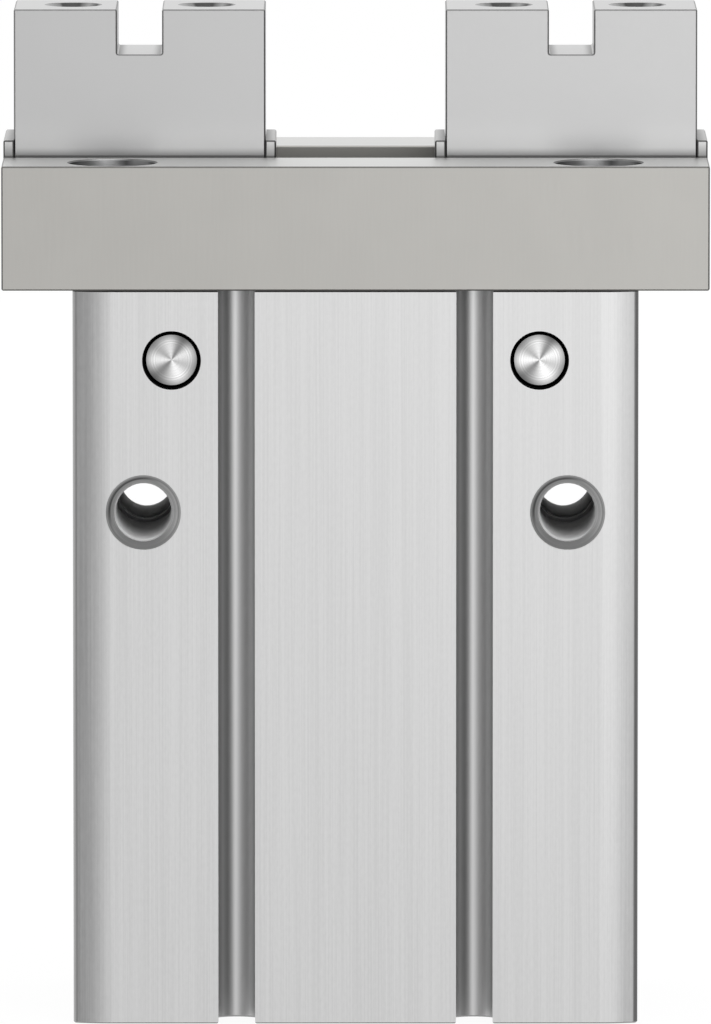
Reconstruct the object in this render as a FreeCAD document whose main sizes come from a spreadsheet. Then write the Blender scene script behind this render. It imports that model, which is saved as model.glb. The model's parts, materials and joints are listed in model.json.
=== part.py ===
"""Pneumatic parallel gripper with a 20 mm piston, as separate pieces of one parametric document.

+Z points from the base to the jaws, X is the jaws' travel, and the front faces -Y.
The origin is the centre of the base. The jaws are drawn fully open.
"""
import FreeCAD, Part
import math
import os
import re

import Sketcher

# Driving dimensions in millimetres
SIZES = {
    # clearances that several pieces share
    "press_gap": 0.01,
    "run_gap": 0.03,
    "nose_gap": 0.05,
    "side_gap": 0.2,
    "stop_gap": 0.3,
    "edge_bevel": 0.1,
    # housing profile and its sensor slots
    "body_width": 40.0,
    "body_depth": 24.8,
    "body_length": 52.2,
    "shoulder_width": 1.5,
    "shoulder_drop": 0.5,
    "body_corner": 0.35,
    "slot_spacing": 16.84,
    "slot_opening": 2.6,
    "slot_round": 3.6,
    "slot_depth": 3.7,
    # fixing threads of the housing
    "mount_edge": 5.0,
    "mount_drop": 15.75,
    "mount_core": 4.2,
    "mount_mouth": 5.34,
    "mount_sink": 0.45,
    "mount_thread": 9.5,
    "mount_relief": 4.6,
    "base_wall": 4.5,
    # air supply ports
    "port_inset": 1.8,
    "port_drop": 3.0,
    "port_wall": 1.2,
    "port_thread": 6.0,
    "port_passage": 2.0,
    # cylinder bore
    "bore": 20.0,
    "centring_step": 0.5,
    "centring_depth": 1.5,
    "clip_low": 2.5,
    "clip_thickness": 1.0,
    "clip_bite": 0.5,
    "clip_width": 2.0,
    "clip_opening": 5.0,
    "clip_lug": 3.0,
    "clip_eye": 1.2,
    # levers and their pins
    "pin_edge": 7.0,
    "pin_diameter": 4.0,
    "pin_recess": 0.45,
    "pin_chamfer": 0.21,
    "pin_mouth": 4.12,
    "lever_thickness": 4.0,
    "lever_reach": 9.4,
    "drive_radius": 5.4,
    "lever_hub": 7.4,
    "lever_root": 5.2,
    "lever_neck": 1.7,
    "lever_nose": 2.8,
    "chamber_gap": 0.5,
    # guide plate and its screws
    "guide_overhang": 5.0,
    "guide_lip": 0.1,
    "guide_height": 8.8,
    "guide_floor": 2.0,
    "channel_wall": 7.5,
    "screw_side": 2.8,
    "screw_edge": 3.4,
    "screw_diameter": 3.0,
    "screw_head": 5.5,
    "screw_length": 10.0,
    "screw_socket": 2.5,
    "counterbore": 6.2,
    "counterbore_depth": 3.4,
    # jaws
    "jaw_side": 0.55,
    "jaw_height": 10.5,
    "jaw_stroke": 5.0,
    "closed_gap": 1.3,
    "jaw_lift": 0.4,
    "jaw_slot": 3.2,
    "jaw_slot_corner": 0.15,
    "jaw_hole_pitch": 9.5,
    "jaw_hole_core": 3.3,
    "jaw_hole_mouth": 4.1,
    "jaw_hole_depth": 8.0,
    # roller rows and end plates of the jaws
    "roller_diameter": 1.5,
    "roller_length": 1.4,
    "roller_rise": 2.2,
    "roller_pitch": 2.4,
    "plate_thickness": 0.72,
    "plate_rise": 1.2,
    "plate_gap": 0.03,
    "plate_screw": 1.6,
    "plate_screw_head": 2.6,
    "plate_screw_rise": 3.2,
    "plate_screw_length": 3.2,
    # piston rod and its bearing
    "rod_diameter": 8.0,
    "rod_head": 14.0,
    "rod_flange": 1.1,
    "rod_core": 7.2,
    "head_gap": 0.38,
    "spigot_step": 0.8,
    "bush_wall": 1.0,
    "bush_length": 4.0,
    "seal_wall": 2.0,
    "seal_height": 2.6,
    "seal_shelf": 0.5,
    "retainer_wall": 3.0,
    "retainer_height": 1.0,
    # piston
    "piston_height": 8.4,
    "band_height": 2.4,
    "piston_seal_wall": 1.9,
    "wear_wall": 0.9,
    "magnet_height": 3.0,
    "magnet_bore": 12.0,
    "cover_height": 3.6,
    "spigot_depth": 1.6,
    "bumper_rise": 0.7,
    "bumper_height": 1.5,
    "bumper_edge": 1.5,
    "bumper_width": 3.0,
    # end cap of the cylinder
    "cap_step": 0.8,
    "cap_recess": 12.0,
    "cord_wall": 1.6,
    "cord_land": 0.7,
}
ROLLERS_PER_ROW = 6
SIDES = (-1, 1)
FULL_TURN = 360.0
ROLLER_LEAN = 45.0
HEXAGON_SIDES = 6
SHOULDER_SHARE = 0.75
SAME_PLACE = 1e-4
PARTS_FOLDER = "parts"

# Formulas that several pieces share, written with the aliases of the sheet
HALF_GUIDE = "(body_width / 2 + guide_overhang)"
GUIDE_FACE = "(body_depth / 2 + guide_lip)"
GUIDE_TOP = "(body_length + guide_height)"
CHANNEL_FACE = f"({GUIDE_FACE} - channel_wall)"
SHOULDER_TILT = "atan(shoulder_drop / shoulder_width)"
SHOULDER_LENGTH = f"(shoulder_width / cos({SHOULDER_TILT}))"
SHOULDER_ROUND = f"({SHOULDER_SHARE} * {SHOULDER_LENGTH} / tan({SHOULDER_TILT} / 2))"
MOUTH_TAPER = "-atan((mount_mouth - mount_core) / 2 / mount_sink)"
MOUNT_X = "(body_width / 2 - mount_edge)"
MOUNT_HEIGHT = "(body_length - mount_drop)"
SCREW_X = "(body_width / 2 - screw_side)"
SCREW_Y = f"({GUIDE_FACE} - screw_edge)"
PIN_X = "(body_width / 2 - pin_edge)"
JAW_LOW = "(body_length + guide_floor + jaw_lift)"
JAW_FACE = f"({CHANNEL_FACE} - jaw_side)"
JAW_INNER = "(jaw_stroke + plate_gap + plate_thickness + closed_gap / 2)"
JAW_OUTER = f"({HALF_GUIDE} - plate_gap - plate_thickness)"
JAW_WIDTH = f"({JAW_OUTER} - {JAW_INNER})"
JAW_CENTRE = f"(({JAW_OUTER} + {JAW_INNER}) / 2)"
TRACK_OFFSET = f"(({CHANNEL_FACE} + {JAW_FACE}) / 2)"
ROLLER_HEIGHT = "(body_length + guide_floor + roller_rise)"
PLATE_FACE = f"({JAW_WIDTH} / 2 + plate_gap + plate_thickness)"
PLATE_SCREW_HEIGHT = f"({JAW_LOW} + plate_screw_rise)"
LEVER_TILT = "asin(jaw_stroke / 2 / lever_reach)"
LEVER_DRIVE = f"({PIN_X} - drive_radius)"
LEVER_SPACE = "(lever_thickness / 2 + side_gap)"
HALF_STROKE = f"({LEVER_DRIVE} * jaw_stroke / 2 / lever_reach)"
NOSE_FIT = "(lever_nose / 2 + nose_gap)"
PIN_HEIGHT = f"(body_length - {HALF_STROKE} - {NOSE_FIT} - rod_flange - head_gap)"
GROOVE_HEIGHT = f"({PIN_HEIGHT} + {HALF_STROKE})"
CHAMBER_FLOOR = f"({PIN_HEIGHT} - {HALF_STROKE} - {NOSE_FIT} - rod_flange - chamber_gap)"
BUSH_LOW = f"({CHAMBER_FLOOR} - bush_length)"
SEAL_TOP = f"({BUSH_LOW} - seal_shelf)"
RETAINER_TOP = f"({SEAL_TOP} - seal_height)"
BORE_TOP = f"({RETAINER_TOP} - retainer_height - stop_gap)"
PISTON_TOP = f"({BORE_TOP} - stop_gap - bumper_rise)"
COVER_LOW = f"({PISTON_TOP} - cover_height)"
MAGNET_LOW = f"({COVER_LOW} - magnet_height)"
PISTON_LOW = f"({MAGNET_LOW} - piston_height)"
SPIGOT_LOW = f"({MAGNET_LOW} - spigot_depth)"
HEAD_SEAT = f"({PISTON_LOW} + screw_diameter + stop_gap)"
PISTON_LAND = "((piston_height - 2 * band_height) / 3)"
WEAR_LOW = f"({PISTON_LOW} + {PISTON_LAND})"
WEAR_TOP = f"({WEAR_LOW} + band_height)"
PACKING_LOW = f"({WEAR_TOP} + {PISTON_LAND})"
PACKING_TOP = f"({PACKING_LOW} + band_height)"
BUSH_RADIUS = "(rod_diameter / 2 + bush_wall)"
SEAL_RADIUS = "(rod_diameter / 2 + seal_wall)"
RETAINER_RADIUS = "(rod_diameter / 2 + retainer_wall)"
SPIGOT_RADIUS = "(rod_diameter / 2 - spigot_step)"
SLIDING_RADIUS = "(bore / 2 - run_gap)"
PISTON_RADIUS = "(bore / 2 - side_gap)"
CAP_TOP = f"({PISTON_LOW} - 2 * {HALF_STROKE} - stop_gap - bumper_rise)"
CLIP_TOP = "(clip_low + clip_thickness)"
CLIP_RADIUS = "(bore / 2 + clip_bite)"
CENTRING_RADIUS = "(bore / 2 + centring_step)"
BUMPER_SEAT = "(bumper_height - bumper_rise)"
BUMPER_OUTER = "(bore - 2 * bumper_edge)"
BUMPER_INNER = f"({BUMPER_OUTER} - 2 * bumper_width)"
PORT_LOW = f"({CAP_TOP} - port_inset)"
PORT_HIGH = f"({BORE_TOP} - port_drop)"
BASE_THREAD = f"({PORT_LOW} - mount_core / 2 - port_wall)"

doc = FreeCAD.newDocument("parallel_gripper")
sheet = doc.addObject("Spreadsheet::Sheet", "sizes")
nodes = []


def fill_sheet():
    """Write the driving dimensions into the sheet, one row each."""
    for row, (alias, size) in enumerate(SIZES.items(), start=1):
        sheet.set(f"A{row}", alias)
        sheet.set(f"B{row}", str(size))
        sheet.setAlias(f"B{row}", alias)
    doc.recompute()


def in_sheet(formula):
    """The formula with every alias read from the sheet."""

    def cell(match):
        word = match.group(0)
        return f"sizes.{word}" if word in SIZES else word

    return re.sub(r"[a-z_]+", cell, formula)


def number(formula):
    """What a formula gives at present, as a plain number."""
    result = sheet.evalExpression(in_sheet(formula))
    return float(getattr(result, "Value", result))


def bind(thing, prop, formula):
    """Let a formula drive a property."""
    thing.setExpression(prop, in_sheet(formula))


def new_body(name, x="0", y="0", z="0"):
    """An empty sub-part whose place is bound to the sheet."""
    body = doc.addObject("PartDesign::Body", name)
    body.Label = name
    for axis, formula in zip("xyz", (x, y, z)):
        bind(body, f"Placement.Base.{axis}", formula)
    nodes.append(body)
    return body


class Outline:
    """A sketch on one of a body's origin planes, with each point bound to the sheet."""

    def __init__(self, body, plane, lift="0"):
        self.sketch = body.newObject("Sketcher::SketchObject", f"{body.Name}_outline")
        support = next(f for f in body.Origin.OriginFeatures if f.Role == plane)
        self.sketch.AttachmentSupport = [(support, "")]
        self.sketch.MapMode = "FlatFace"
        bind(self.sketch, "AttachmentOffset.Base.z", lift)

    def constrain(self, formula, kind, *place):
        """Add a dimension whose value is a formula."""
        dimension = Sketcher.Constraint(kind, *place, number(formula))
        index = self.sketch.addConstraint(dimension)
        bind(self.sketch, f"Constraints[{index}]", formula)

    def pin_point(self, curve, point, x, y):
        """Hold a point of a curve at a place measured from the sketch's origin."""
        self.constrain(x, "DistanceX", -1, 1, curve, point)
        self.constrain(y, "DistanceY", -1, 1, curve, point)

    def polygon(self, *corners):
        """A closed outline through corners given as pairs of formulas."""
        spots = [FreeCAD.Vector(number(x), number(y), 0) for x, y in corners]
        ends = spots[1:] + spots[:1]
        lines = [self.sketch.addGeometry(Part.LineSegment(a, b)) for a, b in zip(spots, ends)]
        for line, following in zip(lines, lines[1:] + lines[:1]):
            self.sketch.addConstraint(Sketcher.Constraint("Coincident", line, 2, following, 1))
        for line, (x, y) in zip(lines, corners):
            self.pin_point(line, 1, x, y)
        return self

    def box(self, x_low, x_high, y_low, y_high):
        """A rectangle between four formulas."""
        return self.polygon((x_low, y_low), (x_high, y_low), (x_high, y_high), (x_low, y_high))

    def circle(self, x, y, diameter):
        """A circle with its centre and diameter as formulas."""
        centre = FreeCAD.Vector(number(x), number(y), 0)
        shape = Part.Circle(centre, FreeCAD.Vector(0, 0, 1), number(diameter) / 2)
        curve = self.sketch.addGeometry(shape)
        self.pin_point(curve, 3, x, y)
        self.constrain(diameter, "Diameter", curve)
        return self

    def hexagon(self, x, y, across_flats):
        """A regular hexagon around a centre."""
        corners = []
        for step in range(HEXAGON_SIDES):
            turn = math.radians(step * FULL_TURN / HEXAGON_SIDES)
            east = math.cos(turn) / math.sqrt(3)
            north = math.sin(turn) / math.sqrt(3)
            corners.append((f"{x} + {east:.6f} * {across_flats}", f"{y} + {north:.6f} * {across_flats}"))
        return self.polygon(*corners)


def extrude(kind, body, outline, length, symmetric, backwards, taper="0"):
    """A pad or a pocket of an outline. Without a length it goes through everything."""
    feature = body.newObject(kind, f"{body.Name}_feature")
    feature.Profile = outline.sketch
    feature.Reversed = backwards
    bind(feature, "TaperAngle", taper)
    if symmetric:
        feature.SideType = "Symmetric"
    if length is None:
        feature.Type = "ThroughAll"
    else:
        bind(feature, "Length", length)
    doc.recompute()


def pad(body, outline, length, symmetric=False, backwards=False):
    """Add material along the normal of the outline's plane."""
    extrude("PartDesign::Pad", body, outline, length, symmetric, backwards)


def pocket(body, outline, length=None, symmetric=False, backwards=False, taper="0"):
    """Take material away, against the normal of the outline's plane."""
    extrude("PartDesign::Pocket", body, outline, length, symmetric, backwards, taper)


def drill(body, outline):
    """Take an outline out of the whole body, to both sides of the outline's plane."""
    pocket(body, outline, symmetric=True)


def revolve(body, corners, kind="PartDesign::Revolution"):
    """Turn an outline of radius and height pairs around Z."""
    outline = Outline(body, "XZ_Plane").polygon(*corners)
    feature = body.newObject(kind, f"{body.Name}_turned")
    feature.Profile = outline.sketch
    feature.ReferenceAxis = (outline.sketch, ["V_Axis"])
    feature.Angle = FULL_TURN
    doc.recompute()


def turned(name, *corners):
    """A sub-part that is one turned outline."""
    body = new_body(name)
    revolve(body, corners)
    return body


def ring_corners(inner, outer, low, high):
    """The outline of a plain ring, from its inner and outer diameter and its two heights."""
    inside, outside = f"{inner} / 2", f"{outer} / 2"
    return (inside, low), (outside, low), (outside, high), (inside, high)


def near(a, b):
    """Whether two lengths are the same."""
    return abs(a - b) < SAME_PLACE


def dress(kind, body, prop, size, wanted):
    """A chamfer or a fillet on the edges of the last feature that pass a test."""
    shape = body.Tip.Shape
    names = [f"Edge{i}" for i, edge in enumerate(shape.Edges, start=1) if wanted(edge)]
    base = body.Tip
    feature = body.newObject(kind, f"{body.Name}_edges")
    feature.Base = (base, names)
    bind(feature, prop, size)
    doc.recompute()


def chamfer(body, size, wanted):
    """Break the edges that pass a test."""
    dress("PartDesign::Chamfer", body, "Size", size, wanted)


def fillet(body, size, wanted):
    """Round the edges that pass a test."""
    dress("PartDesign::Fillet", body, "Radius", size, wanted)


def is_circle(edge, diameter):
    """Whether an edge is a full circle of a diameter."""
    if edge.Curve.TypeId != "Part::GeomCircle" or not edge.isClosed():
        return False
    return near(edge.Curve.Radius, diameter / 2)


def is_line(edge):
    """Whether an edge is straight."""
    return edge.Curve.TypeId == "Part::GeomLine"


def lies_in(edge, axis, places):
    """Whether an edge lies in one of the planes across an axis."""
    spots = [getattr(vertex.Point, axis) for vertex in edge.Vertexes]
    return any(all(near(spot, place) for spot in spots) for place in places)


def mouth_chamfer(body, core, mouth, axis, places):
    """Countersink the circular edges of a hole where it meets some planes."""
    diameter = number(core)

    def wanted(edge):
        return is_circle(edge, diameter) and any(near(getattr(edge.Curve.Center, axis), p) for p in places)

    chamfer(body, f"({mouth} - {core}) / 2", wanted)


# Housing

def cut_sensor_slots(body):
    """Four round slots with a narrow opening, two on each broad face."""
    necks = Outline(body, "XY_Plane")
    rounds = Outline(body, "XY_Plane")
    for side in SIDES:
        for face in SIDES:
            x = f"{side} * slot_spacing / 2"
            y = f"{face} * (body_depth / 2 - slot_depth + slot_round / 2)"
            outside = f"{face} * body_depth"
            necks.box(f"{x} - slot_opening / 2", f"{x} + slot_opening / 2", y, outside)
            rounds.circle(x, y, "slot_round")
    drill(body, necks)
    drill(body, rounds)


def cut_cylinder(body):
    """The bore from the base up to the lever chamber, with the seats of its pieces."""
    revolve(
        body,
        (
            ("0", "0"),
            (CENTRING_RADIUS, "0"),
            (CENTRING_RADIUS, "centring_depth"),
            ("bore / 2", "centring_depth"),
            ("bore / 2", "clip_low"),
            (CLIP_RADIUS, "clip_low"),
            (CLIP_RADIUS, CLIP_TOP),
            ("bore / 2", CLIP_TOP),
            ("bore / 2", BORE_TOP),
            (RETAINER_RADIUS, BORE_TOP),
            (RETAINER_RADIUS, RETAINER_TOP),
            (SEAL_RADIUS, RETAINER_TOP),
            (SEAL_RADIUS, SEAL_TOP),
            ("rod_diameter / 2 + side_gap", SEAL_TOP),
            ("rod_diameter / 2 + side_gap", BUSH_LOW),
            (BUSH_RADIUS, BUSH_LOW),
            (BUSH_RADIUS, CHAMBER_FLOOR),
            ("0", CHAMBER_FLOOR),
        ),
        "PartDesign::Groove",
    )


def cut_lever_chamber(body):
    """The slot for the levers and the round space for the rod's head, open at the top."""
    depth = f"body_length - {CHAMBER_FLOOR}"
    reach = f"({PIN_X} + lever_hub / 2 + chamber_gap)"
    slot = Outline(body, "XY_Plane", "body_length")
    slot.box(f"-{reach}", reach, f"-{LEVER_SPACE}", LEVER_SPACE)
    pocket(body, slot, depth)
    space = Outline(body, "XY_Plane", "body_length").circle("0", "0", "rod_head + 2 * chamber_gap")
    pocket(body, space, depth)


def cut_pin_holes(body):
    """Cross holes for the lever pins, slightly wider at both mouths."""
    holes = Outline(body, "XZ_Plane")
    for side in SIDES:
        holes.circle(f"{side} * {PIN_X}", PIN_HEIGHT, "pin_diameter + 2 * press_gap")
    drill(body, holes)
    for face in SIDES:
        mouths = Outline(body, "XZ_Plane", f"{face} * body_depth / 2")
        for side in SIDES:
            mouths.circle(f"{side} * {PIN_X}", PIN_HEIGHT, "pin_mouth")
        pocket(body, mouths, "2 * pin_recess", backwards=face < 0)


def sink_mouths(body, plane, face, places, backwards=False):
    """Countersink fixing threads where they open in a face. The cone ends inside the open core."""
    mouths = Outline(body, plane, face)
    for across, along in places:
        mouths.circle(across, along, "mount_mouth")
    pocket(body, mouths, "2 * mount_sink", backwards=backwards, taper=MOUTH_TAPER)


def cut_fixing_holes(body):
    """The two threaded cross holes, the two threads in the base and the four for the guide's screws."""
    cores = Outline(body, "XZ_Plane")
    reliefs = Outline(body, "XZ_Plane")
    base = Outline(body, "XY_Plane")
    top = Outline(body, "XY_Plane", "body_length")
    cross = [(f"{side} * {MOUNT_X}", MOUNT_HEIGHT) for side in SIDES]
    below = [(f"{side} * ({CENTRING_RADIUS} + base_wall)", "0") for side in SIDES]
    for place in cross:
        cores.circle(*place, "mount_core")
        reliefs.circle(*place, "mount_relief")
    for place in below:
        base.circle(*place, "mount_core")
    for side in SIDES:
        for row in SIDES:
            top.circle(f"{side} * {SCREW_X}", f"{row} * {SCREW_Y}", "screw_diameter")
    drill(body, cores)
    pocket(body, reliefs, "body_depth - 2 * mount_thread", symmetric=True)
    pocket(body, base, BASE_THREAD, backwards=True)
    pocket(body, top, "screw_length - guide_height + counterbore_depth + 2 * stop_gap")
    for face in SIDES:
        sink_mouths(body, "XZ_Plane", f"{face} * body_depth / 2", cross, backwards=face < 0)
    sink_mouths(body, "XY_Plane", "0", below, backwards=True)


def cut_ports(body):
    """Two threaded ports on the right side, each with a passage into the bore."""
    ports = Outline(body, "YZ_Plane", "body_width / 2")
    passages = Outline(body, "YZ_Plane", "body_width / 2")
    places = [("0", height) for height in (PORT_LOW, PORT_HIGH)]
    for place in places:
        ports.circle(*place, "mount_core")
        passages.circle(*place, "port_passage")
    pocket(body, ports, "port_thread")
    pocket(body, passages, "(body_width - bore) / 2 + port_passage")
    sink_mouths(body, "YZ_Plane", "body_width / 2", places)


def round_uprights(body, size, place):
    """Round the upright edges at a place on both sides of the housing."""
    length = number("body_length")
    sides = (-number(place), number(place))
    fillet(body, size, lambda edge: near(edge.Length, length) and lies_in(edge, "x", sides))


def build_profile(body):
    """The housing's section, whose broad faces fall away a little towards their edges."""
    width, flat = "body_width / 2", "(body_width / 2 - shoulder_width)"
    depth, side = "body_depth / 2", "(body_depth / 2 - shoulder_drop)"
    section = Outline(body, "XY_Plane")
    section.polygon(
        (f"-{flat}", f"-{depth}"),
        (flat, f"-{depth}"),
        (width, f"-{side}"),
        (width, side),
        (flat, depth),
        (f"-{flat}", depth),
        (f"-{width}", side),
        (f"-{width}", f"-{side}"),
    )
    pad(body, section, "body_length")
    round_uprights(body, SHOULDER_ROUND, flat)
    round_uprights(body, "body_corner", width)


def build_body():
    """The extruded aluminium housing."""
    body = new_body("body")
    build_profile(body)
    cut_sensor_slots(body)
    ends = (0.0, number("body_length"))
    chamfer(body, "edge_bevel", lambda edge: lies_in(edge, "z", ends))
    cut_cylinder(body)
    cut_lever_chamber(body)
    cut_pin_holes(body)
    cut_fixing_holes(body)
    cut_ports(body)


# Guide plate

def cut_roller_tracks(body):
    """Two square grooves on edge along X, whose flat flanks the crossed rollers run on."""
    tracks = Outline(body, "YZ_Plane")
    half = "((roller_diameter + 2 * run_gap) * sqrt(2) / 2)"
    for face in SIDES:
        middle = f"{face} * {TRACK_OFFSET}"
        tracks.polygon(
            (f"{middle} - {half}", ROLLER_HEIGHT),
            (middle, f"{ROLLER_HEIGHT} - {half}"),
            (f"{middle} + {half}", ROLLER_HEIGHT),
            (middle, f"{ROLLER_HEIGHT} + {half}"),
        )
    drill(body, tracks)


def build_guide_plate():
    """The steel plate with the channel in which both jaws run."""
    body = new_body("guide_plate")
    block = Outline(body, "XY_Plane", "body_length")
    block.box(f"-{HALF_GUIDE}", HALF_GUIDE, f"-{GUIDE_FACE}", GUIDE_FACE)
    pad(body, block, "guide_height")
    trough = Outline(body, "XY_Plane", GUIDE_TOP)
    trough.box(f"-2 * {HALF_GUIDE}", f"2 * {HALF_GUIDE}", f"-{CHANNEL_FACE}", CHANNEL_FACE)
    pocket(body, trough, "guide_height - guide_floor")
    levels = (number("body_length"), number(GUIDE_TOP))
    walls = (-number(HALF_GUIDE), number(HALF_GUIDE))
    faces = (-number(GUIDE_FACE), number(GUIDE_FACE))
    lips = (-number(CHANNEL_FACE), number(CHANNEL_FACE))

    def outer(edge):
        on_level = lies_in(edge, "z", levels)
        on_wall = lies_in(edge, "x", walls)
        on_face = lies_in(edge, "y", faces)
        on_lip = lies_in(edge, "y", lips) and lies_in(edge, "z", levels[1:])
        return on_level + on_wall + on_face > 1 or on_lip

    chamfer(body, "edge_bevel", outer)
    cut_roller_tracks(body)
    windows = Outline(body, "XY_Plane", GUIDE_TOP)
    heads = Outline(body, "XY_Plane", GUIDE_TOP)
    shanks = Outline(body, "XY_Plane", GUIDE_TOP)
    rise = f"(body_length + guide_floor - {PIN_HEIGHT})"
    swing = f"({rise} * tan({LEVER_TILT}) + lever_neck / 2 + 2 * side_gap)"
    for side in SIDES:
        pivot = f"{side} * {PIN_X}"
        windows.box(f"{pivot} - {swing}", f"{pivot} + {swing}", f"-{LEVER_SPACE}", LEVER_SPACE)
        for row in SIDES:
            x, y = f"{side} * {SCREW_X}", f"{row} * {SCREW_Y}"
            heads.circle(x, y, "counterbore")
            shanks.circle(x, y, "screw_diameter + 2 * side_gap")
    pocket(body, windows)
    pocket(body, heads, "counterbore_depth")
    pocket(body, shanks)
    mouth_chamfer(body, "counterbore", "(counterbore + 2 * edge_bevel)", "z", levels[1:])


def build_guide_screws():
    """Four socket screws that hold the guide plate on the housing."""
    body = new_body("guide_screws")
    seat = f"({GUIDE_TOP} - counterbore_depth)"
    heads = Outline(body, "XY_Plane", seat)
    shanks = Outline(body, "XY_Plane", seat)
    sockets = Outline(body, "XY_Plane", f"{seat} + screw_diameter")
    for side in SIDES:
        for row in SIDES:
            x, y = f"{side} * {SCREW_X}", f"{row} * {SCREW_Y}"
            heads.circle(x, y, "screw_head")
            shanks.circle(x, y, "screw_diameter - 2 * press_gap")
            sockets.hexagon(x, y, "screw_socket")
    pad(body, heads, "screw_diameter")
    pad(body, shanks, "screw_length", backwards=True)
    pocket(body, sockets, "screw_diameter / 2")
    top = number(f"{seat} + screw_diameter")
    head = number("screw_head")
    chamfer(body, "side_gap", lambda edge: is_circle(edge, head) and near(edge.Curve.Center.z, top))


# Levers

def arm_corners(length):
    """Half an outline of an arm that runs from its root to a straight neck under its nose."""
    neck = "lever_neck / 2"
    return ("lever_root / 2", "0"), (neck, f"({length} - lever_nose)"), (neck, length)


def add_arm(body, length, upright, side):
    """An arm with a round nose, either upright or towards the rod."""
    rim = arm_corners(length)
    corners = list(rim) + [(f"-({across})", along) for across, along in reversed(rim)]
    nose = ("0", length)
    if not upright:
        corners = [(f"{-side} * {along}", across) for across, along in corners]
        nose = (f"{-side} * {length}", "0")
    pad(body, Outline(body, "XZ_Plane").polygon(*corners), "lever_thickness", symmetric=True)
    pad(body, Outline(body, "XZ_Plane").circle(*nose, "lever_nose"), "lever_thickness", symmetric=True)


def build_lever(name, side):
    """A bell crank that turns the rod's stroke into the stroke of one jaw."""
    body = new_body(name, x=f"{side} * {PIN_X}", z=PIN_HEIGHT)
    body.Placement.Rotation = FreeCAD.Rotation(FreeCAD.Vector(0, side, 0), number(LEVER_TILT))
    bind(body, "Placement.Rotation.Angle", LEVER_TILT)
    pad(body, Outline(body, "XZ_Plane").circle("0", "0", "lever_hub"), "lever_thickness", symmetric=True)
    add_arm(body, "lever_reach", True, side)
    add_arm(body, LEVER_DRIVE, False, side)
    drill(body, Outline(body, "XZ_Plane").circle("0", "0", "pin_diameter + 2 * run_gap"))


def build_lever_pin(name, side):
    """The pin that a lever turns on, with both ends chamfered."""
    body = new_body(name, x=f"{side} * {PIN_X}", z=PIN_HEIGHT)
    rod = Outline(body, "XZ_Plane").circle("0", "0", "pin_diameter")
    pad(body, rod, "body_depth - 2 * pin_recess", symmetric=True)
    diameter = number("pin_diameter")
    chamfer(body, "pin_chamfer", lambda edge: is_circle(edge, diameter))


# Jaws

def build_jaw(name, side):
    """A jaw with a cross groove and two threads on top, and a pocket for the lever's nose below."""
    body = new_body(name, x=f"{side} * {JAW_CENTRE}")
    width = f"{JAW_WIDTH} / 2"
    top = f"({GUIDE_TOP} + jaw_height)"
    floor = f"({top} - jaw_slot)"
    block = Outline(body, "XY_Plane", JAW_LOW).box(f"-{width}", width, f"-{JAW_FACE}", JAW_FACE)
    pad(body, block, f"{top} - {JAW_LOW}")
    drill(body, Outline(body, "XZ_Plane").box("-jaw_slot / 2", "jaw_slot / 2", floor, f"{top} + jaw_slot"))
    corner_height = number(floor)
    corners = (-number("jaw_slot / 2"), number("jaw_slot / 2"))
    fillet(body, "jaw_slot_corner", lambda e: lies_in(e, "z", (corner_height,)) and lies_in(e, "x", corners))
    level = number(top)
    walls = (-number(width), number(width))
    faces = (-number(JAW_FACE), number(JAW_FACE))

    def outer(edge):
        on_face = lies_in(edge, "y", faces)
        on_top = lies_in(edge, "z", (level,))
        on_wall = lies_in(edge, "x", walls)
        upright = is_line(edge) and on_wall and on_face
        return upright or on_top or (on_face and edge.BoundBox.ZMin > corner_height - SAME_PLACE)

    chamfer(body, "edge_bevel", outer)
    holes = Outline(body, "XY_Plane", top)
    for end in SIDES:
        holes.circle(f"{end} * jaw_hole_pitch / 2", "0", "jaw_hole_core")
    pocket(body, holes, "jaw_hole_depth")
    mouth_chamfer(body, "jaw_hole_core", "jaw_hole_mouth", "z", (level,))
    cut_roller_tracks(body)
    shift = f"{side} * ({PIN_X} + jaw_stroke / 2 - {JAW_CENTRE})"
    nose = Outline(body, "XY_Plane", JAW_LOW)
    nose.box(f"{shift} - {NOSE_FIT}", f"{shift} + {NOSE_FIT}", f"-{LEVER_SPACE}", LEVER_SPACE)
    nose_top = f"({PIN_HEIGHT} + lever_reach + lever_nose / 2 + stop_gap)"
    pocket(body, nose, f"{nose_top} - {JAW_LOW}", backwards=True)
    for end in SIDES:
        thread = Outline(body, "YZ_Plane", f"{end} * {JAW_WIDTH} / 2")
        thread.circle("0", PLATE_SCREW_HEIGHT, "plate_screw")
        pocket(body, thread, "plate_screw_length + stop_gap", backwards=end < 0)


def build_end_plate(name, side, end):
    """A thin plate on one end of a jaw. It keeps the rollers in and touches the jaw only low down."""
    body = new_body(name, x=f"{side} * {JAW_CENTRE}")
    seat = f"{end} * {JAW_WIDTH} / 2"
    inner = f"{end} * ({JAW_WIDTH} / 2 + plate_gap)"
    outer = f"{end} * {PLATE_FACE}"
    top = f"({GUIDE_TOP} + plate_rise)"
    step = f"({GUIDE_TOP} - stop_gap)"
    profile = Outline(body, "XZ_Plane")
    profile.polygon(
        (seat, JAW_LOW),
        (outer, JAW_LOW),
        (outer, top),
        (inner, top),
        (inner, step),
        (seat, step),
    )
    pad(body, profile, f"2 * ({CHANNEL_FACE} - stop_gap)", symmetric=True)
    face = number(outer)
    chamfer(body, "edge_bevel", lambda edge: lies_in(edge, "x", (face,)))
    hole, mouth = "(plate_screw + 2 * run_gap)", "(plate_screw_head + 2 * run_gap)"
    drill(body, Outline(body, "YZ_Plane").circle("0", PLATE_SCREW_HEIGHT, hole))
    mouth_chamfer(body, hole, mouth, "x", (face,))


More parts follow.
